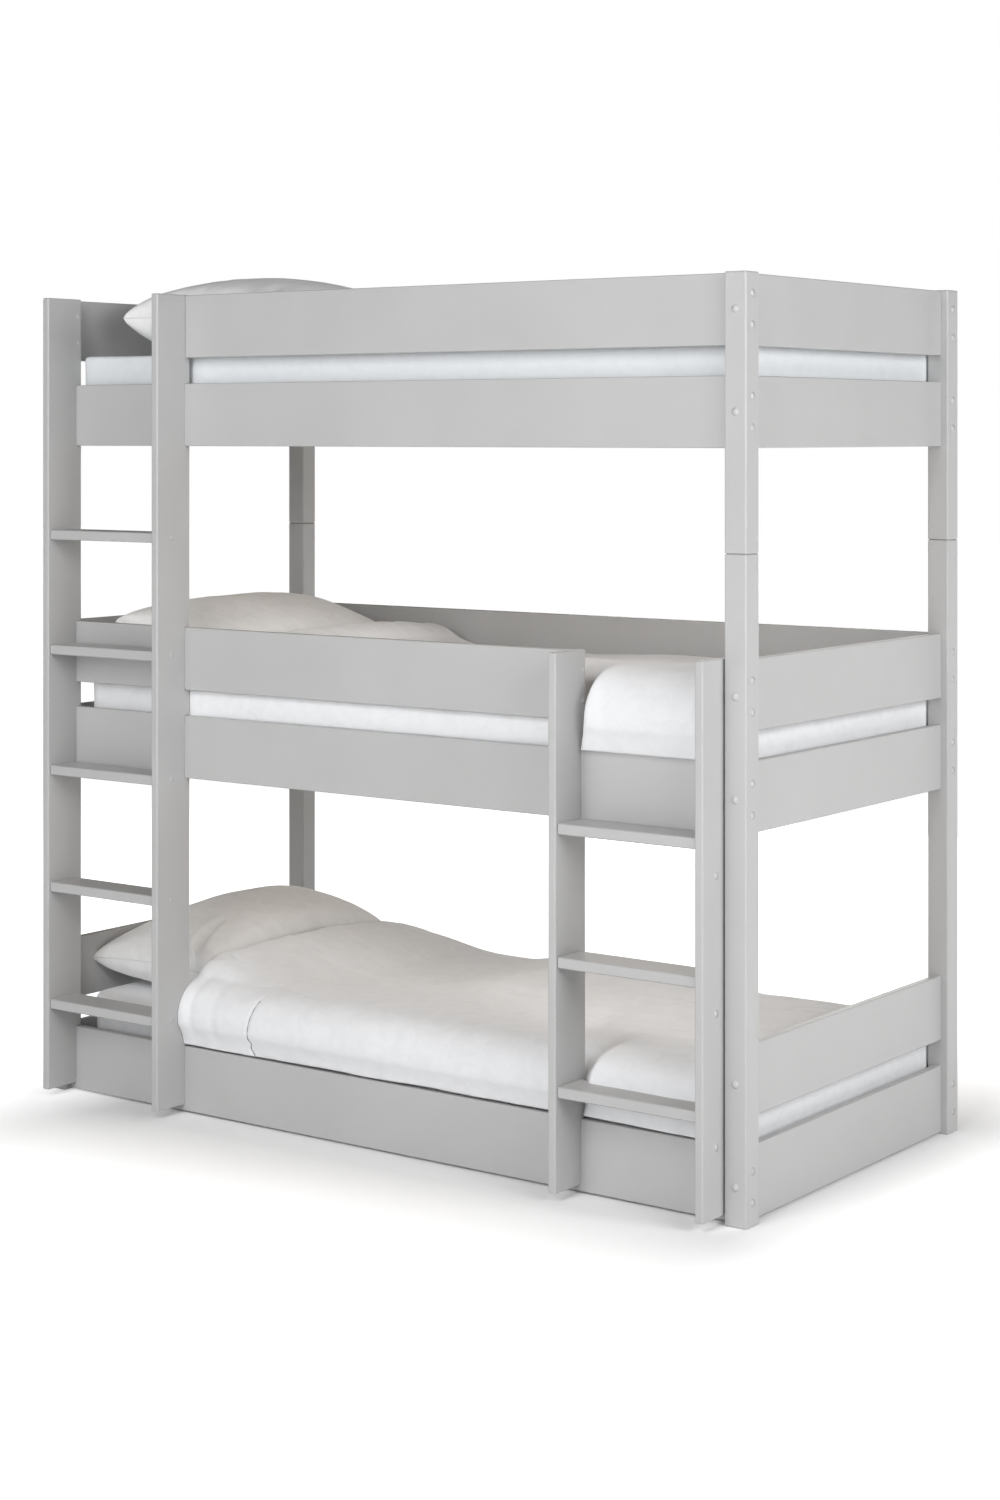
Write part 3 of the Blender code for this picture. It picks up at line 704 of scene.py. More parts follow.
@dataclass(frozen=True)
class Crease:
    """A line along which a cover is drawn in, given by points on the cover."""

    line: Line
    depth: float
    width: float
    lips: float = 0.25
    lip_widths: float = 2.0
    run_out: float = 0.04

    def pull(self, places: Array) -> Array:
        """Work out how far the cover is drawn in.

        Args:
            places: Points on the cover, of shape (count, 2), in metres.

        Returns:
            The depth at each place.
        """
        nearest = np.full(len(places), np.inf)
        along = np.zeros(len(places))
        count = len(self.line) - 1
        for number, (start, end) in enumerate(zip(self.line, self.line[1:])):
            run = np.subtract(end, start)
            offset = places - start
            share = np.clip(offset @ run / (run @ run), 0, 1)
            away = np.linalg.norm(offset - share[:, None] * run, axis=1)
            closer = away < nearest
            nearest = np.where(closer, away, nearest)
            along = np.where(closer, (number + share) / count, along)
        fade = np.sqrt(np.sin(np.clip(along, self.run_out, 1 - self.run_out) * math.pi))
        lips = self.lips * np.exp(-(nearest / self.width - self.lip_widths) ** 2)
        return self.depth * fade * (np.exp(-(nearest / self.width) ** 2) - lips)


@dataclass
class Mattress:
    """A foam mattress in a close-fitting white cover, with a seam at each corner."""

    bunk: Bunk
    cover: Material
    thread: Material
    head_corner_radius: float = 0.005
    foot_corner_radius: float = 0.005
    head_reach: float = 0.0
    foot_reach: float = 0.0055
    rear_reach: float = 0.0048
    head_rise: float = 0.0
    edge_radius: float = 0.010
    cell: float = 0.030
    edge_steps: tuple[float, ...] = (0.0035, 0.007, 0.0105, 0.014, 0.024, 0.04, 0.06)
    seam_radius: float = 0.0011
    seam_points: int = 14
    foam_pitch: Triple = (0.30, 0.22, 0.10)
    foam_seed_step: float = 7.0
    side_slack: float = 0.0015
    slack_waves: float = 0.4
    side_share: float = 0.96
    top_wave: float = 0.0012
    top_share: float = 0.6
    head_ramp: float = 0.09
    stuffed: float = 0.95

    def build(self) -> Piece:
        """Model the mattress in the space of its CAD solid.

        Returns:
            The mattress piece.
        """
        node = f"mattress_{self.bunk.value}"
        low, high = (np.array(corner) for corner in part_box(node))
        low[0] -= self.head_reach
        high[:2] += (self.foot_reach, self.rear_reach)
        piece = self.rounded_block(f"covered_mattress_{self.bunk.value}", low, high)
        piece.data.materials.append(self.cover)
        piece.data.shade_smooth()
        self.sew_corners(piece, low, high)
        stand_in(piece, node)
        return piece

    def rounded_block(self, name: str, low: Array, high: Array) -> Piece:
        """Model a block with round corners, eased edges and slightly uneven foam.

        Args:
            name: The piece's name.
            low: Lowest corner of the block.
            high: Highest corner of the block.

        Returns:
            The block, closed.
        """
        middle = (low + high) / 2
        half = (high - low) / 2
        bm = bmesh.new()
        bmesh.ops.create_cube(bm, size=2)
        for axis in range(3):
            normal = Vector((axis == 0, axis == 1, axis == 2))
            for place in self.cuts(half[axis]):
                bmesh.ops.bisect_plane(bm, geom=bm.verts[:] + bm.edges[:] + bm.faces[:],
                                       plane_co=normal * (place / half[axis]), plane_no=normal)
        mesh = bpy.data.meshes.new(name)
        bm.to_mesh(mesh)
        bm.free()
        piece = in_scene(name, mesh)
        points = self.rounded(points_of(piece) * half, half)
        waves = soft_noise(points + middle, self.foam_pitch,
                           list(Bunk).index(self.bunk) * self.foam_seed_step)
        side = np.max(np.abs(points[:, :2]) / half[:2], axis=1) > self.side_share
        slack = side * (1 - (points[:, 2] / half[2]) ** 2) * (1 + self.slack_waves * (waves - 1))
        points[:, :2] -= np.sign(points[:, :2]) * slack[:, None] * self.side_slack
        near_head = 1 - smooth_step((points[:, 0] + half[0]) / self.head_ramp)
        rise = (waves - 1) * self.top_wave + self.head_rise * near_head
        points[:, 2] += np.where(points[:, 2] > self.top_share * half[2], rise, 0)
        points[:, 2] = np.maximum(points[:, 2], -half[2])
        move_points(piece, points + middle)
        return piece

    def cuts(self, half: float) -> list[float]:
        """List the places of the cuts across one direction, closer together at its ends.

        Args:
            half: Half the block's size in that direction.

        Returns:
            The places, about the block's middle.
        """
        inner = half - self.edge_steps[-1]
        count = max(1, round(2 * inner / self.cell)) + 1
        places = list(np.linspace(-inner, inner, count)) if inner > 0 else []
        places += [sign * (half - step) for step in self.edge_steps[:-1] if step < half
                   for sign in (-1, 1)]
        return sorted(places)

    def rounded(self, points: Array, half: Array) -> Array:
        """Pull a block's points onto round corners and eased edges.

        Args:
            points: Points on the block's faces, about its middle.
            half: Half the block's size.

        Returns:
            The same points on the rounded block.
        """
        radius = np.where(points[:, 0] < 0, self.head_corner_radius, self.foot_corner_radius)
        core = np.clip(points[:, :2], radius[:, None] - half[:2], half[:2] - radius[:, None])
        spread = points[:, :2] - core
        square = np.max(np.abs(spread), axis=1, keepdims=True)
        reach = np.maximum(np.linalg.norm(spread, axis=1, keepdims=True), TINY)
        flat = core + spread * square / reach
        inset = half[:2] - np.abs(flat)
        in_corner = np.all(np.abs(spread) > 0, axis=1)
        depth = np.where(in_corner, radius - square[:, 0], inset.min(axis=1))
        nearest = np.argmin(inset, axis=1)
        straight = np.zeros_like(flat)
        straight[np.arange(len(flat)), nearest] = np.sign(flat[np.arange(len(flat)), nearest])
        outward = np.where(in_corner[:, None], spread / reach, straight)
        across = np.clip(1 - depth / self.edge_radius, 0, 1)
        up = np.clip(1 - (half[2] - np.abs(points[:, 2])) / self.edge_radius, 0, 1)
        size = np.maximum(np.hypot(across, up), TINY)
        share = np.maximum(across, up) / size
        shift = self.edge_radius * across * (share - 1)
        lift = self.edge_radius * up * (share - 1)
        return np.column_stack([flat + outward * shift[:, None],
                                points[:, 2] + np.sign(points[:, 2]) * lift])

    def sew_corners(self, piece: Piece, low: Array, high: Array) -> None:
        """Sew a seam up each corner of the cover.

        Args:
            piece: The mattress.
            low: Lowest corner of its block.
            high: Highest corner of its block.
        """
        ends = ((low[0], self.head_corner_radius, 1), (high[0], self.foot_corner_radius, -1))
        heights = np.linspace(low[2] + self.edge_radius, high[2] - self.edge_radius / 2,
                              self.seam_points)
        for end, (edge, radius, inward) in enumerate(ends):
            inset = radius * (1 - math.sqrt(0.5))
            for number, y in enumerate((low[1] + inset, high[1] - inset), 2 * end + 1):
                path = [(edge + inward * inset, y, z) for z in heights]
                cord = seam_and_shade_cord(f"corner_seam_{self.bunk.value}_{number}", piece, path,
                                 self.seam_radius, False, self.thread)
                attach(cord)


@dataclass
class Pillow:
    """A feather-filled pillow in a cotton case, with a knife-edge seam all round."""

    bunk: Bunk
    cotton: Material
    thread: Material
    loft: float
    seam_rise: float
    half_width: float
    half_length: float
    shift: tuple[float, float] = (0.0, 0.0)
    tilt: float = 0.0
    front_drop: float = 0.0
    corner_droop: float = 0.0
    power: float = 0.36
    pull_share: float = 0.05
    creases: tuple[Crease, ...] = ()
    cells: int = 76
    rim_points: int = 40
    seam_radius: float = 0.0012
    seed: float = 3.0
    dent_pitch: Triple = (0.16, 0.20, 0.2)
    dent_share: float = 0.04
    pucker_pitch: Triple = (0.05, 0.12, 0.2)
    pucker_depth: float = 0.008
    pucker_seed_step: float = 9.0
    crowding: float = 0.5
    crease_gain: float = 2.0
    least_rise: float = 1 * MM
    stuffed: float = 0.6

    def build(self, filling: Filling) -> Piece:
        """Model, stuff and sew the pillow.

        Args:
            filling: How hard the case is stuffed.

        Returns:
            The pillow piece.
        """
        node = f"pillow_{self.bunk.value}"
        low, high = (np.array(corner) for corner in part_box(node))
        self.centre = (low[:2] + high[:2]) / 2 + self.shift
        self.floor = low[2]
        piece = self.case(f"cotton_pillow_{self.bunk.value}")
        filling.fill(piece)
        points = points_of(piece)
        points[:len(self.pull), 2] -= self.pull
        points[:, 2] = np.maximum(points[:, 2], self.floor)
        move_points(piece, points)
        piece.data.materials.append(self.cotton)
        smooth_finish(piece)
        cord = seam_and_shade_cord(f"pillow_seam_{self.bunk.value}", piece, self.rim(), self.seam_radius,
                         True, self.thread)
        attach(cord)
        stand_in(piece, node)
        return piece

    def seam_places(self, u: Array, v: Array) -> Array:
        """Place points on the sheet that the seam lies in.

        Args:
            u: Shares of the half width.
            v: Shares of the half length.

        Returns:
            The points, of shape (count, 3).
        """
        x = self.centre[0] + self.half_width * u * (1 - self.pull_share * (1 - v * v))
        y = self.centre[1] + self.half_length * v * (1 - self.pull_share * (1 - u * u))
        seam = self.floor + self.seam_rise - self.tilt * self.half_width * u
        seam = seam - self.corner_droop * ((1 + u) * (1 + v) / 4) ** 3
        return np.column_stack([x, y, seam - self.front_drop * self.half_length * v])

    def case(self, name: str) -> Piece:
        """Shape the case: two crowned sheets that meet in the seam.

        Args:
            name: The piece's name.

        Returns:
            The closed case.
        """
        even = np.linspace(-1, 1, self.cells)
        shares = even + self.crowding * (np.sin(even * math.pi / 2) - even)
        u, v = (grid.ravel() for grid in np.meshgrid(shares, shares))
        fullness = np.maximum(0, (1 - u * u) * (1 - v * v)) ** self.power
        places = self.seam_places(u, v)
        dents = soft_noise(places, self.dent_pitch, self.seed)
        puckers = np.abs(soft_noise(places, self.pucker_pitch, self.seed + self.pucker_seed_step))
        thick = self.loft * fullness * (1 + self.dent_share * dents)
        thick = thick - self.pucker_depth * (1 - fullness) * fullness * puckers
        flat = np.column_stack([u * self.half_width, v * self.half_length])
        self.pull = sum(crease.pull(flat) for crease in self.creases)
        self.pull = self.pull * np.minimum(1, self.crease_gain * fullness)
        thick = np.maximum(thick, 0)
        upper, lower = places.copy(), places.copy()
        upper[:, 2] = np.maximum(places[:, 2] + thick / 2, self.floor + self.least_rise)
        lower[:, 2] = np.maximum(places[:, 2] - thick / 2, self.floor)
        inside = (np.abs(u) < 1) & (np.abs(v) < 1)
        under = np.where(inside, self.cells ** 2 + np.cumsum(inside) - 1, np.arange(len(u)))
        faces = grid_faces(self.cells, self.cells)
        faces += [[under[place] for place in quad[::-1]] for quad in faces]
        return object_from(name, np.vstack([upper, lower[inside]]), faces)

    def rim(self) -> Array:
        """List points along the case's seam, all the way round.

        Returns:
            The points, of shape (count, 3).
        """
        shares = np.linspace(-1, 1, self.rim_points)[:-1]
        ones = np.ones_like(shares)
        u = np.concatenate([shares, ones, -shares, -ones])
        v = np.concatenate([-ones, shares, ones, -shares])
        return self.seam_places(u, v)


@dataclass(frozen=True)
class Relief:
    """Lumps, folds and fine wrinkles of a filled cover, slanting across the bed."""

    lump_pitch: Triple = (0.42, 0.26, 0.4)
    lump_depth: float = 4 * MM
    fold_pitch: Triple = (0.55, 0.10, 0.5)
    fold_depth: float = 5 * MM
    fold_level: float = 0.75
    fold_seed: float = 5
    fine_pitch: Triple = (0.16, 0.035, 0.10)
    fine_depth: float = 0.8 * MM
    fine_seed: float = 8
    slant: float = 0.35

    def height(self, x: Array, y: Array, walked: Array, seed: float) -> Array:
        """Work out the relief at places on a cover.

        Args:
            x: Places along the bed.
            y: Places across the bed.
            walked: Length along the cover from its rear edge.
            seed: Offset that picks the pattern.

        Returns:
            The height at each place.
        """
        places = np.column_stack([x, y - self.slant * x, -walked])
        lumps = soft_noise(places, self.lump_pitch, seed)
        folds = 1 - np.abs(soft_noise(places, self.fold_pitch, seed + self.fold_seed))
        fine = soft_noise(places, self.fine_pitch, seed + self.fine_seed)
        return (self.lump_depth * lumps + self.fold_depth * (folds - self.fold_level)
                + self.fine_depth * fine)


@dataclass
class Duvet:
    """A filled duvet in a cotton cover, laid over the mattress and tucked in at the front.

    Its underside runs from the rear edge over the mattress, turns down in a bend at the front
    and ends in a hem. Its loft is the thickness above that.
    """

    bunk: Bunk
    cotton: Material
    thread: Material
    head_edge: float
    head_crown: Line
    head_span: float
    rear_lofts: Line
    lip_loft: float
    side_lofts: Line
    open_spans: Line
    creases: tuple[Crease, ...]
    tuck: float
    front_shift: float = 0.0
    shift_run: float = 0.06
    open_ramp: tuple[float, float] = (0.055, 0.006)
    lip_start: float = 0.45
    lip_ramp: float = 0.5
    turn_run: float = 0.05
    shut_run: float = 0.16
    shut_loft: float = 0.05
    dense: tuple[float, float] | None = None
    dense_share: float = 0.15
    crease_loft: float = 0.02
    crease_share: float = 0.5
    # A dark cord of painted shade along the first crease, where the cloth lies double.
    fold_thread: Material | None = None
    fold_radius: float = 0.0014
    head_round: float = 0.030
    rear_round: float = 0.050
    foot_round: float = 0.040
    hem_round: float = 0.0045
    round_columns: int = 8
    thin: float = 0.0078
    least_share: float = 0.7
    cloth: float = 1.2 * MM
    bend: float = 0.020
    column: float = 0.0085
    row: float = 0.0095
    lip_run: float = 0.10
    lip_row: float = 0.0057
    hem_run: float = 0.012
    hem_rows: int = 7
    front_gap: float = 2.5 * MM
    under_gap: float = 1.5 * MM
    hem_gap: float = 0.6 * MM
    weld_gap: float = 0.05 * MM
    clear_gap: float = 0.8 * MM
    rear_slack: float = 3 * MM
    seat_reach: float = 7 * MM
    seam_radius: float = 0.0012
    seam_stride: int = 3
    stuffed: float = 0.4
    calm: float = 0.75
    open_calm: float = 0.5
    relief: Relief = field(default_factory=Relief)
    seed: float = 21.0

    def build(self, filling: Filling) -> Piece:
        """Model, stuff and lay the duvet.

        Args:
            filling: How hard the cover is stuffed.

        Returns:
            The duvet piece.
        """
        node = f"duvet_{self.bunk.value}"
        self.low, self.high = (np.array(corner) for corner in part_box(node))
        mattress_low, mattress_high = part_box(f"mattress_{self.bunk.value}")
        self.mattress_top = mattress_high[2]
        self.front = mattress_low[1] - self.front_gap
        self.floor = self.mattress_top + self.under_gap
        self.hem = self.low[2] + self.hem_gap - self.tuck
        self.top_run = self.high[1] - self.front - self.bend
        self.corner_run = self.bend * math.pi / 2
        self.run = self.top_run + self.corner_run + self.floor - self.bend - self.hem
        piece, rim = self.cover(f"cotton_duvet_{self.bunk.value}")
        filling.fill(piece)
        points = points_of(piece)
        points[-len(self.pull):] -= self.pull
        self.keep_clear(points)
        move_points(piece, points)
        piece.data.materials.append(self.cotton)
        smooth_finish(piece)
        # Painted shade: a dark cord along the first crease stands in for the shadow where the cloth
        # lies double.
        if self.fold_thread:
            fold = points_of(piece)[self.fold_places() - len(self.flat)]
            attach(seam_and_shade_cord(f"duvet_fold_{self.bunk.value}", piece, fold, self.fold_radius,
                             False, self.fold_thread))
        attach(seam_and_shade_cord(f"duvet_seam_{self.bunk.value}", piece, rim, self.seam_radius, True,
                         self.thread))
        stand_in(piece, node)
        return piece

    def column_shares(self) -> Array:
        """List shares along the bed, closer together at both ends and at the sharp crease.

        Returns:
            Shares of the duvet's length, rising from 0 to 1.
        """
        length = self.high[0] - self.head_edge
        ease = 1 - np.cos(np.linspace(0, math.pi / 2, self.round_columns, endpoint=False))
        steps = [self.head_round]
        while steps[-1] < length - self.foot_round:
            place = self.head_edge + steps[-1]
            fine = self.dense and self.dense[0] < place < self.dense[1]
            steps.append(steps[-1] + self.column * (self.dense_share if fine else 1))
        foot = np.sort(length - self.foot_round * ease)
        return np.concatenate([self.head_round * ease, steps[:-1], foot]) / length

    def row_shares(self) -> Array:
        """List shares across the bed, closer together at the front and at the hem.

        Returns:
            Shares of the underside's run, rising from 0 to 1.
        """
        front = self.top_run - self.lip_run
        hem = self.run - self.hem_run
        rear = np.linspace(0, front, round(front / self.row), endpoint=False)
        lip = np.linspace(front, hem, round((hem - front) / self.lip_row), endpoint=False)
        return np.concatenate([rear, lip, np.linspace(hem, self.run, self.hem_rows)]) / self.run

    def cover(self, name: str) -> tuple[Piece, list]:
        """Shape the cover: an underside along the mattress and a top at its loft above it.

        Args:
            name: The piece's name.

        Returns:
            The closed cover, and points round its seam.
        """
        s, t = self.column_shares(), self.row_shares()
        along, across = len(s), len(t)
        grid_s, grid_t = (grid.ravel() for grid in np.meshgrid(s, t))
        walked = grid_t * self.run
        past = walked - self.top_run
        shift = smooth_step(past / self.shift_run + 1) * self.front_shift
        x = self.head_edge - shift + (self.high[0] - self.head_edge + shift) * grid_s
        angle = np.clip(past / self.corner_run, 0, 1) * math.pi / 2
        y = self.high[1] - np.minimum(walked, self.top_run) - self.bend * np.sin(angle)
        z = self.floor - self.bend * (1 - np.cos(angle)) - np.maximum(0, past - self.corner_run)
        normal = np.column_stack([np.zeros_like(x), -np.sin(angle), np.cos(angle)])
        under = np.column_stack([x, y, z])
        loft = self.loft(x, y, walked, grid_s)
        upper = under + normal * loft[:, None]
        self.flat = np.column_stack([x, past])
        depth = sum(crease.pull(self.flat) for crease in self.creases)
        depth = depth * np.clip(loft / self.crease_loft, 0, 1)
        self.pull = normal * np.minimum(depth, self.crease_share * loft)[:, None]
        faces = grid_faces(along, across, 0, True) + grid_faces(along, across, len(under))
        grid = np.arange(len(under)).reshape(across, along)
        ring = [*grid[0], *grid[1:, -1], *grid[-1, -2::-1], *grid[-2:0:-1, 0]]
        faces += [(first, second, second + len(under), first + len(under))
                  for first, second in zip(ring, ring[1:] + ring[:1])]
        piece = object_from(name, np.vstack([under, upper]), faces)
        weld(piece, self.weld_gap)
        return piece, [(under[place] + upper[place]) / 2 for place in ring[::self.seam_stride]]

    def fold_places(self) -> Array:
        """List the cover's points along the first crease, a row of the grid at a time.

        Returns:
            Indices of the points, counted over the cover's top.
        """
        line = np.array(self.creases[0].line)
        low, high = line[0][1], line[-1][1]
        rows = np.unique(self.flat[:, 1])
        rows = rows[(rows > low) & (rows < high)]
        xs = np.interp(rows, line[:, 1], line[:, 0])
        return np.array([np.argmin(np.linalg.norm(self.flat - place, axis=1))
                         for place in zip(xs, rows)])

    def loft(self, x: Array, y: Array, walked: Array, along: Array) -> Array:
        """Work out the duvet's thickness at places along its underside.

        Args:
            x: Places along the bed.
            y: Places across the bed.
            walked: Length along the underside from the rear edge.
            along: Shares of the duvet's length, from its head edge.

        Returns:
            The thickness at each place.
        """
        past = walked - self.top_run
        across = np.clip(walked / self.top_run, 0, 1)
        rear = np.interp(x, *zip(*self.rear_lofts))
        lip = smooth_step((across - self.lip_start) / self.lip_ramp)
        thick = rear + (self.lip_loft - rear) * lip
        crown = np.interp(across, *zip(*self.head_crown))
        away = np.clip((x - self.head_edge) / self.head_span, 0, 1)
        thick = thick + np.maximum(0, crown - thick) * (1 + np.cos(math.pi * away)) / 2
        down = np.clip(past / (self.run - self.top_run), 0, 1)
        ramp = self.open_ramp[0] + (self.open_ramp[1] - self.open_ramp[0]) * down
        opened = np.max([smooth_step((x - first) / ramp) * smooth_step((second - x) / ramp)
                         for first, second in self.open_spans], axis=0)
        side = np.interp(down, *zip(*self.side_lofts))
        side = self.thin + (side - self.thin) * opened
        turn = smooth_step((past + self.turn_run) / (self.corner_run + self.turn_run))
        shut = smooth_step(past / self.shut_run + 1) * (1 - opened)
        thick = thick + (np.minimum(thick, self.shut_loft) - thick) * shut
        thick = thick + (side - thick) * turn
        uneven = 1 - self.calm * turn * (1 - self.open_calm * opened)
        thick = thick + uneven * self.relief.height(x, y, walked, self.seed)
        length = self.high[0] - self.head_edge
        edge = (round_off(along * length, self.head_round)
                * round_off((1 - along) * length, self.foot_round)
                * round_off(walked, self.rear_round)
                * round_off(self.run - walked, self.hem_round))
        return np.maximum(thick, self.least_share * self.thin) * edge + self.cloth

    def keep_clear(self, points: Array) -> None:
        """Push the duvet off the mattress, the boards and the ladder sides after the filling.

        Args:
            points: The duvet's points, which are moved in place.
        """
        x, y, z = points.T
        gap = self.clear_gap
        push_past(z, y > self.front + self.front_gap, self.mattress_top + gap)
        np.minimum(y, self.high[1] + self.rear_slack, out=y)
        rail = f"rail_{self.bunk.value}_front"
        for board in (rail, "guard_middle_front"):
            low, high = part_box(board)
            seated = (y < high[1]) & (np.abs(z - high[2]) < self.seat_reach) & (board == rail)
            push_past(z, seated, high[2] + gap / 2)
            level = (z < high[2]) & (z > low[2])
            push_past(y, level & (x < high[0] + gap) & (x > low[0] - gap), high[1] + gap)
        for ladder_side, (head_face, foot_face) in LADDER_SIDE_FACES.items():
            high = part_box(ladder_side)[1]
            middle = (head_face + foot_face) / 2
            before = (y < high[1] + gap) & (z < high[2])
            headward = before & (x > head_face - gap) & (x < middle) & (head_face > 0)
            footward = before & (x < foot_face + gap) & ((head_face < 0) | (x >= middle))
            x[headward] = head_face - gap
            x[footward] = foot_face + gap


@dataclass(frozen=True)
class Lamp:
    """A soft rectangular lamp that faces the bed."""

    name: str
    place: Triple
    size: tuple[float, float]
    watts: float
    colour: str = "FFFFFF"
    target: Triple = (0.0, 0.0, 1.0)

    def hang(self) -> None:
        """Hang the lamp at its place and turn it to its target."""
        light = bpy.data.lights.new(self.name, "AREA")
        light.shape = "RECTANGLE"
        light.size, light.size_y = self.size
        light.energy = self.watts
        light.color = hex_to_linear(self.colour)[:3]
        hung = in_scene(self.name, light)
        hung.location = self.place
        direction = Vector(self.target) - hung.location
        hung.rotation_euler = direction.to_track_quat("-Z", "Y").to_euler()


@dataclass
class Studio:
    """Pale floor, white surroundings and soft lamps."""

    floor_size: float = 60.0
    floor_colour: str = "F4F4F4"
    surroundings: float = 0.03
    surroundings_colour: str = "FFFDFA"
    backdrop_colour: str = "FFFFFF"
    # Painted light: the floor's glow grows outside this box round the bed, which sets how far the
    # shadow reaches.
    shadow_centre: Triple = (0.135, 0.0, 0.0)
    shadow_half_size: Triple = (0.885, 0.53, 0.0)
    near_glow: float = 0.04
    glow_reach: float = 0.99
    glow_speed: Triple = (1.8, 1.0, 1.0)
    lamps: tuple[Lamp, ...] = (
        Lamp("front_high", (1.0, -4.5, 4.2), (2.5, 2.0), 96.0),
        Lamp("right", (5.0, -0.6, 2.2), (2.4, 2.4), 118.0),
        Lamp("rear", (-0.3, 4.6, 1.5), (5.0, 2.6), 104.0, "FFFEFC"),
        Lamp("front_centre", (0.6, -5.4, 2.6), (3.0, 1.6), 76.0),
        Lamp("front_low", (-0.6, -5.2, 0.9), (3.0, 1.2), 35.0),
        Lamp("right_front", (5.0, -2.6, 3.0), (2.4, 2.0), 65.0),
        Lamp("left_rear", (-4.8, 1.2, 1.6), (2.4, 2.0), 40.0))

    def build(self) -> None:
        """Lay the floor, set the world and hang the lamps."""
        self.lay_floor()
        self.set_world()
        for lamp in self.lamps:
            lamp.hang()

    def lay_floor(self) -> None:
        """Lay a floor that is white to the camera and keeps the bed's shadow.

        It glows for the camera and in mirrors, little near the bed and fully far from it. The glow
        is painted light, and its box round the bed sets where the bed's shadow fades out.
        """
        half = self.floor_size / 2
        floor = object_from("studio_floor", [(-half, -half, 0), (half, -half, 0),
                                             (half, half, 0), (-half, half, 0)], [(0, 1, 2, 3)])
        material, tree, shader, away = new_material("white_floor_with_painted_glow")
        set_node(shader, {"Base Color": hex_to_linear(self.floor_colour), "Roughness": 0.9,
                          "Specular IOR Level": 0.1}, {})
        none = (0.0, 0.0, 0.0)
        # Painted light: the glow rises with the distance outside the box round the bed.
        for operation, value in (("SUBTRACT", self.shadow_centre), ("ABSOLUTE", none),
                                 ("SUBTRACT", self.shadow_half_size), ("MAXIMUM", none),
                                 ("MULTIPLY", self.glow_speed), ("LENGTH", none)):
            away = add_node(tree, "VectorMath", {"operation": operation, 1: value}, {0: away})
        glow = add_node(tree, "MapRange", {"From Max": self.glow_reach,
                                           "To Min": self.near_glow},
                        {"Value": away.outputs["Value"]})
        path = add_node(tree, "LightPath").outputs
        seen = add_node(tree, "Math", {"operation": "MAXIMUM"},
                        {0: path["Is Camera Ray"], 1: path["Is Glossy Ray"]})
        strength = add_node(tree, "Math", {"operation": "MULTIPLY"}, {0: seen, 1: glow})
        light = add_node(tree, "Emission", links={"Strength": strength})
        both = add_node(tree, "AddShader", links={0: shader, 1: light})
        set_node(tree.nodes["Material Output"], {}, {"Surface": both})
        floor.data.materials.append(material)

    def set_world(self) -> None:
        """Surround the bed with dim light that the camera sees as white."""
        world = bpy.data.worlds.new("studio_surroundings")
        bpy.context.scene.world = world
        world.use_nodes = True
        tree = world.node_tree
        tree.nodes.clear()
        path = add_node(tree, "LightPath").outputs
        seen = add_node(tree, "Math", {"operation": "MAXIMUM"},
                        {0: path["Is Camera Ray"], 1: path["Is Transmission Ray"]})
        dim, white = (add_node(tree, "Background", {"Color": hex_to_linear(code), "Strength": glow})
                      for code, glow in ((self.surroundings_colour, self.surroundings),
                                         (self.backdrop_colour, 1.0)))
        mixed = add_node(tree, "MixShader", links={0: seen, 1: dim, 2: white})
        add_node(tree, "OutputWorld", links={"Surface": mixed})


@dataclass
class PhotoCamera:
    """The camera that sees the bed as the photograph does."""

    place: Triple = (3.8483, -5.1891, 1.6522)
    turn_degrees: float = 36.13
    lens_mm: float = 63.63
    sensor_mm: float = 36.0
    shift_up: float = -0.2111

    def build(self) -> None:
        """Place the camera, level, and make it the scene's camera."""
        data = bpy.data.cameras.new("photo_camera")
        data.lens = self.lens_mm
        data.sensor_width = self.sensor_mm
        data.shift_y = self.shift_up
        camera = in_scene("photo_camera", data)
        camera.location = self.place
        camera.rotation_euler = (math.pi / 2, 0.0, math.radians(self.turn_degrees))
        bpy.context.scene.camera = camera


def make_finishes() -> dict[str, Material]:
    """Make the finishes of the soft pieces.

    Returns:
        Each finish by a short name.
    """
    cottons = {
        "mattress": WovenCotton("knitted_mattress_cover", colour="DFE2E5", shade_colour="DBDEE1",
                                crumple_height_mm=0.8),
        "sheet": WovenCotton("fitted_cotton_sheet", crumple_height_mm=0.8),
        "case": WovenCotton("washed_cotton_case", colour="EFEFEF", shade_colour="E9E9E9"),
        "quilt": WovenCotton("washed_cotton_cover"),
        "thread": WovenCotton("sewing_thread", colour="D6D6D4", crumple_strength=0.0),
        # Painted shade: a dark cord for the bottom duvet's crease, where the cloth lies double.
        "fold": WovenCotton("cotton_fold_in_shadow", colour="8A8A88", shade_colour="868684",
                            crumple_strength=0.0)}
    return {name: cotton.build() for name, cotton in cottons.items()}


def mattresses(made: dict[str, Material]) -> list[Mattress]:
    """Size the three mattresses.

    Args:
        made: The finishes.

    Returns:
        The mattresses, to be built.
    """
    thread = made["thread"]
    return [Mattress(Bunk.TOP, made["mattress"], thread, head_reach=0.010),
            Mattress(Bunk.MIDDLE, made["sheet"], thread, head_corner_radius=0.040),
            Mattress(Bunk.BOTTOM, made["sheet"], thread, head_corner_radius=0.075,
                     head_reach=0.010, head_rise=0.005)]


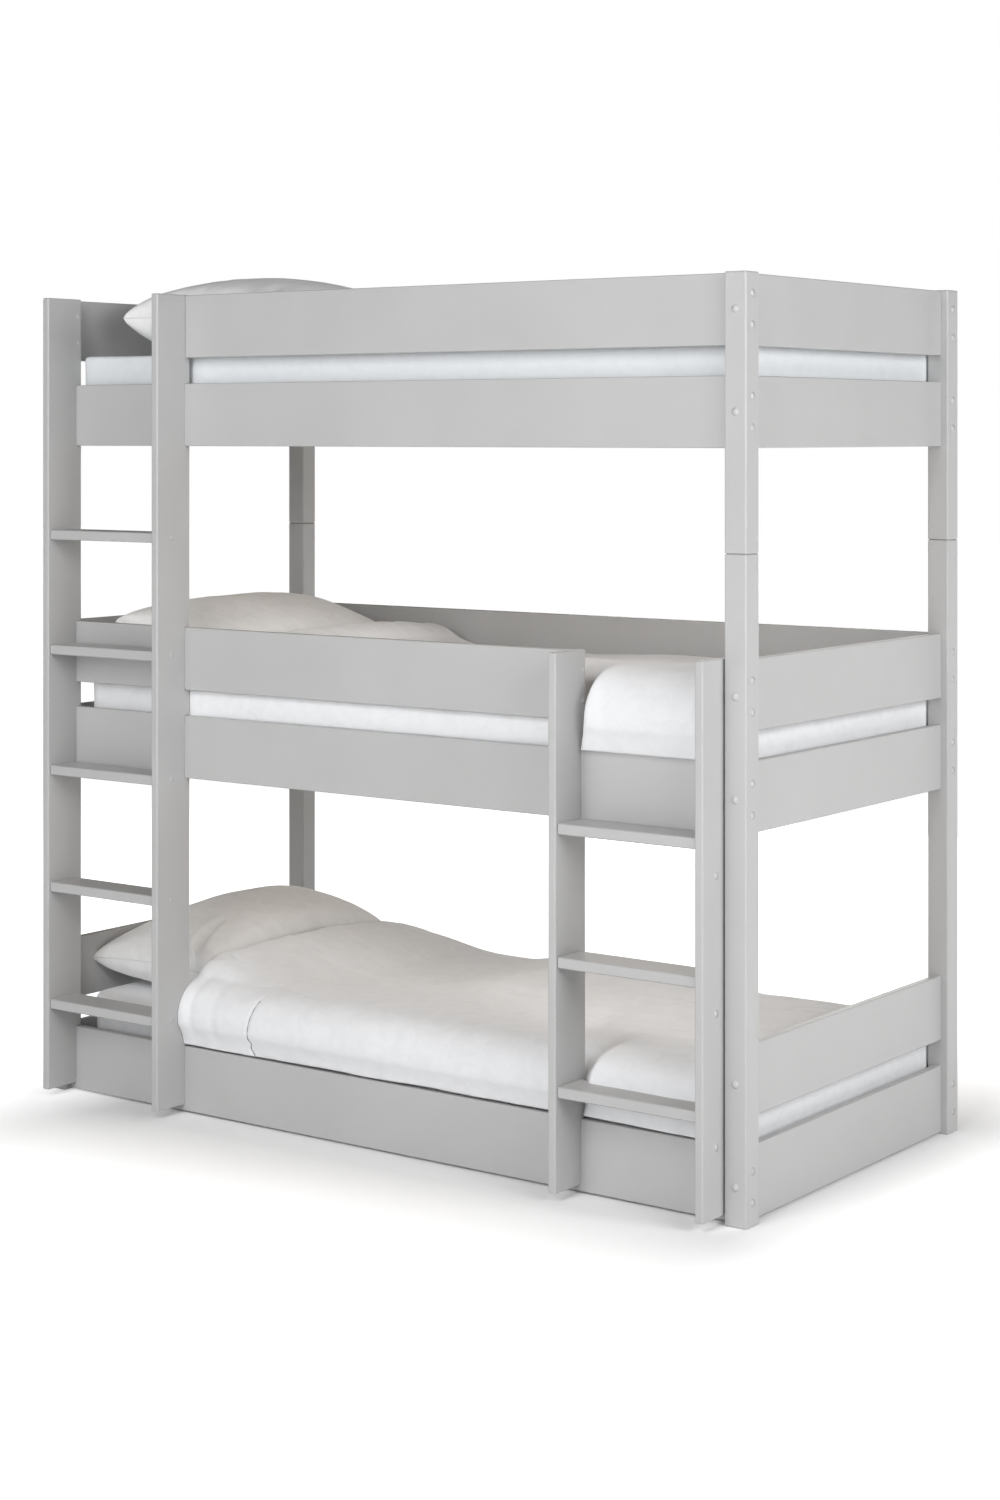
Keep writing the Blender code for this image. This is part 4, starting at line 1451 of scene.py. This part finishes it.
def pillows(made: dict[str, Material]) -> list[Pillow]:
    """Size the three pillows.

    Args:
        made: The finishes.

    Returns:
        The pillows, to be built.
    """
    finish = {"cotton": made["case"], "thread": made["thread"]}
    return [
        Pillow(Bunk.TOP, **finish, loft=0.234, seam_rise=0.081, half_width=0.251,
               half_length=0.375, front_drop=0.043, seed=3.0,
               creases=(Crease(((0.20, -0.34), (0.17, -0.24)), 0.006, 0.014),)),
        Pillow(Bunk.MIDDLE, **finish, loft=0.167, seam_rise=0.077, half_width=0.204,
               half_length=0.390, shift=(0.014, 0.0), tilt=0.30, seed=5.0,
               creases=(Crease(((0.16, -0.36), (0.12, -0.28)), 0.006, 0.014),)),
        Pillow(Bunk.BOTTOM, **finish, loft=0.198, seam_rise=0.101, half_width=0.200,
               half_length=0.360, shift=(-0.0215, -0.0205), front_drop=-0.064,
               corner_droop=0.035, power=0.385, pull_share=0.10, seed=7.0,
               creases=(Crease(((0.135, -0.345), (0.100, -0.27), (0.085, -0.19)), 0.016, 0.013),
                        Crease(((-0.02, -0.335), (0.0, -0.27)), 0.006, 0.012),
                        Crease(((0.07, -0.335), (0.06, -0.28)), 0.005, 0.010)))]


def duvets(made: dict[str, Material]) -> list[Duvet]:
    """Size the two duvets.

    Args:
        made: The finishes.

    Returns:
        The duvets, to be built.
    """
    finish = {"cotton": made["quilt"], "thread": made["thread"]}
    return [
        Duvet(Bunk.BOTTOM, **finish, head_edge=-0.600, head_span=0.30,
              head_crown=((0.0, 0.075), (0.03, 0.082), (0.204, 0.1225), (0.398, 0.1375),
                          (0.666, 0.138), (0.788, 0.1365), (0.894, 0.1295), (0.979, 0.1095),
                          (1.0, 0.095)),
              rear_lofts=((-0.60, 0.080), (-0.50, 0.067), (-0.27, 0.044), (-0.14, 0.045),
                          (0.05, 0.082), (0.2, 0.055), (0.54, 0.041), (0.97, 0.041)),
              lip_loft=0.076, open_spans=((-0.640, 0.585), (0.588, 0.940)), tuck=0.002,
              side_lofts=((0.0, 0.072), (0.16, 0.067), (0.30, 0.056), (0.45, 0.0445),
                          (0.65, 0.0360), (0.846, 0.0305), (1.0, 0.0290)),
              creases=(Crease(((-0.331, 0.006), (-0.353, 0.036), (-0.346, 0.050),
                               (-0.352, 0.062), (-0.340, 0.082)), 0.005, 0.0036, 0.1),
                       Crease(((-0.545, -0.03), (-0.525, 0.05)), 0.004, 0.010),
                       Crease(((-0.47, -0.02), (-0.455, 0.06)), 0.003, 0.012),
                       Crease(((-0.565, -0.10), (-0.52, -0.085)), 0.004, 0.005),
                       Crease(((-0.580, -0.22), (-0.53, -0.17)), 0.004, 0.006),
                       Crease(((-0.585, -0.38), (-0.53, -0.30)), 0.004, 0.006),
                       Crease(((-0.29, -0.03), (-0.21, -0.005)), 0.003, 0.006),
                       Crease(((-0.34, -0.05), (-0.25, -0.045)), 0.003, 0.006),
                       Crease(((-0.16, 0.01), (-0.08, 0.022)), 0.003, 0.007),
                       Crease(((-0.45, -0.34), (-0.12, -0.06)), 0.006, 0.030),
                       Crease(((0.05, -0.42), (0.30, -0.07)), 0.005, 0.032),
                       Crease(((0.36, -0.46), (0.52, -0.05)), 0.005, 0.030)),
              dense=(-0.364, -0.324), fold_thread=made["fold"]),
        Duvet(Bunk.MIDDLE, **finish, head_edge=-0.515, head_span=0.20,
              head_crown=((0.0, 0.098), (0.03, 0.102), (0.204, 0.116), (0.5, 0.122),
                          (0.9, 0.118), (1.0, 0.105)),
              rear_lofts=((-0.50, 0.088), (-0.437, 0.073), (-0.39, 0.053), (0.05, 0.042),
                          (0.17, 0.049), (0.305, 0.052), (0.97, 0.049)),
              lip_loft=0.106, open_spans=((0.584, 0.940),), tuck=0.020, front_shift=0.080,
              side_lofts=((0.0, 0.100), (0.08, 0.090), (0.16, 0.076), (0.26, 0.062),
                          (0.5, 0.050), (0.75, 0.042), (1.0, 0.035)),
              creases=(Crease(((-0.440, 0.050), (-0.428, 0.068), (-0.432, 0.095)), 0.004, 0.004),
                       Crease(((-0.52, -0.45), (-0.47, -0.36)), 0.004, 0.008),
                       Crease(((-0.50, -0.20), (-0.44, -0.15)), 0.004, 0.008),
                       Crease(((0.70, -0.30), (0.90, -0.12)), 0.003, 0.025)),
              seed=33.0)]


def main() -> None:
    """Build the bed's looks in order."""
    logging.basicConfig(level=logging.INFO, format="%(name)s: %(message)s")
    bpy.context.scene.view_settings.view_transform = "Standard"
    PhotoCamera().build()
    Studio().build()
    LOG.info("painted %d nodes", PaintedFrame().build())
    LOG.info("left %d nodes bare", BareTimber().build())
    made = make_finishes()
    LOG.info("fitted %d bolt caps", BoltCaps().build())
    for mattress in mattresses(made):
        mattress.build()
    for pillow in pillows(made):
        pillow.build(Filling())
    for duvet in duvets(made):
        duvet.build(Filling(pressure=1.5))


if __name__ == "__main__":
    main()
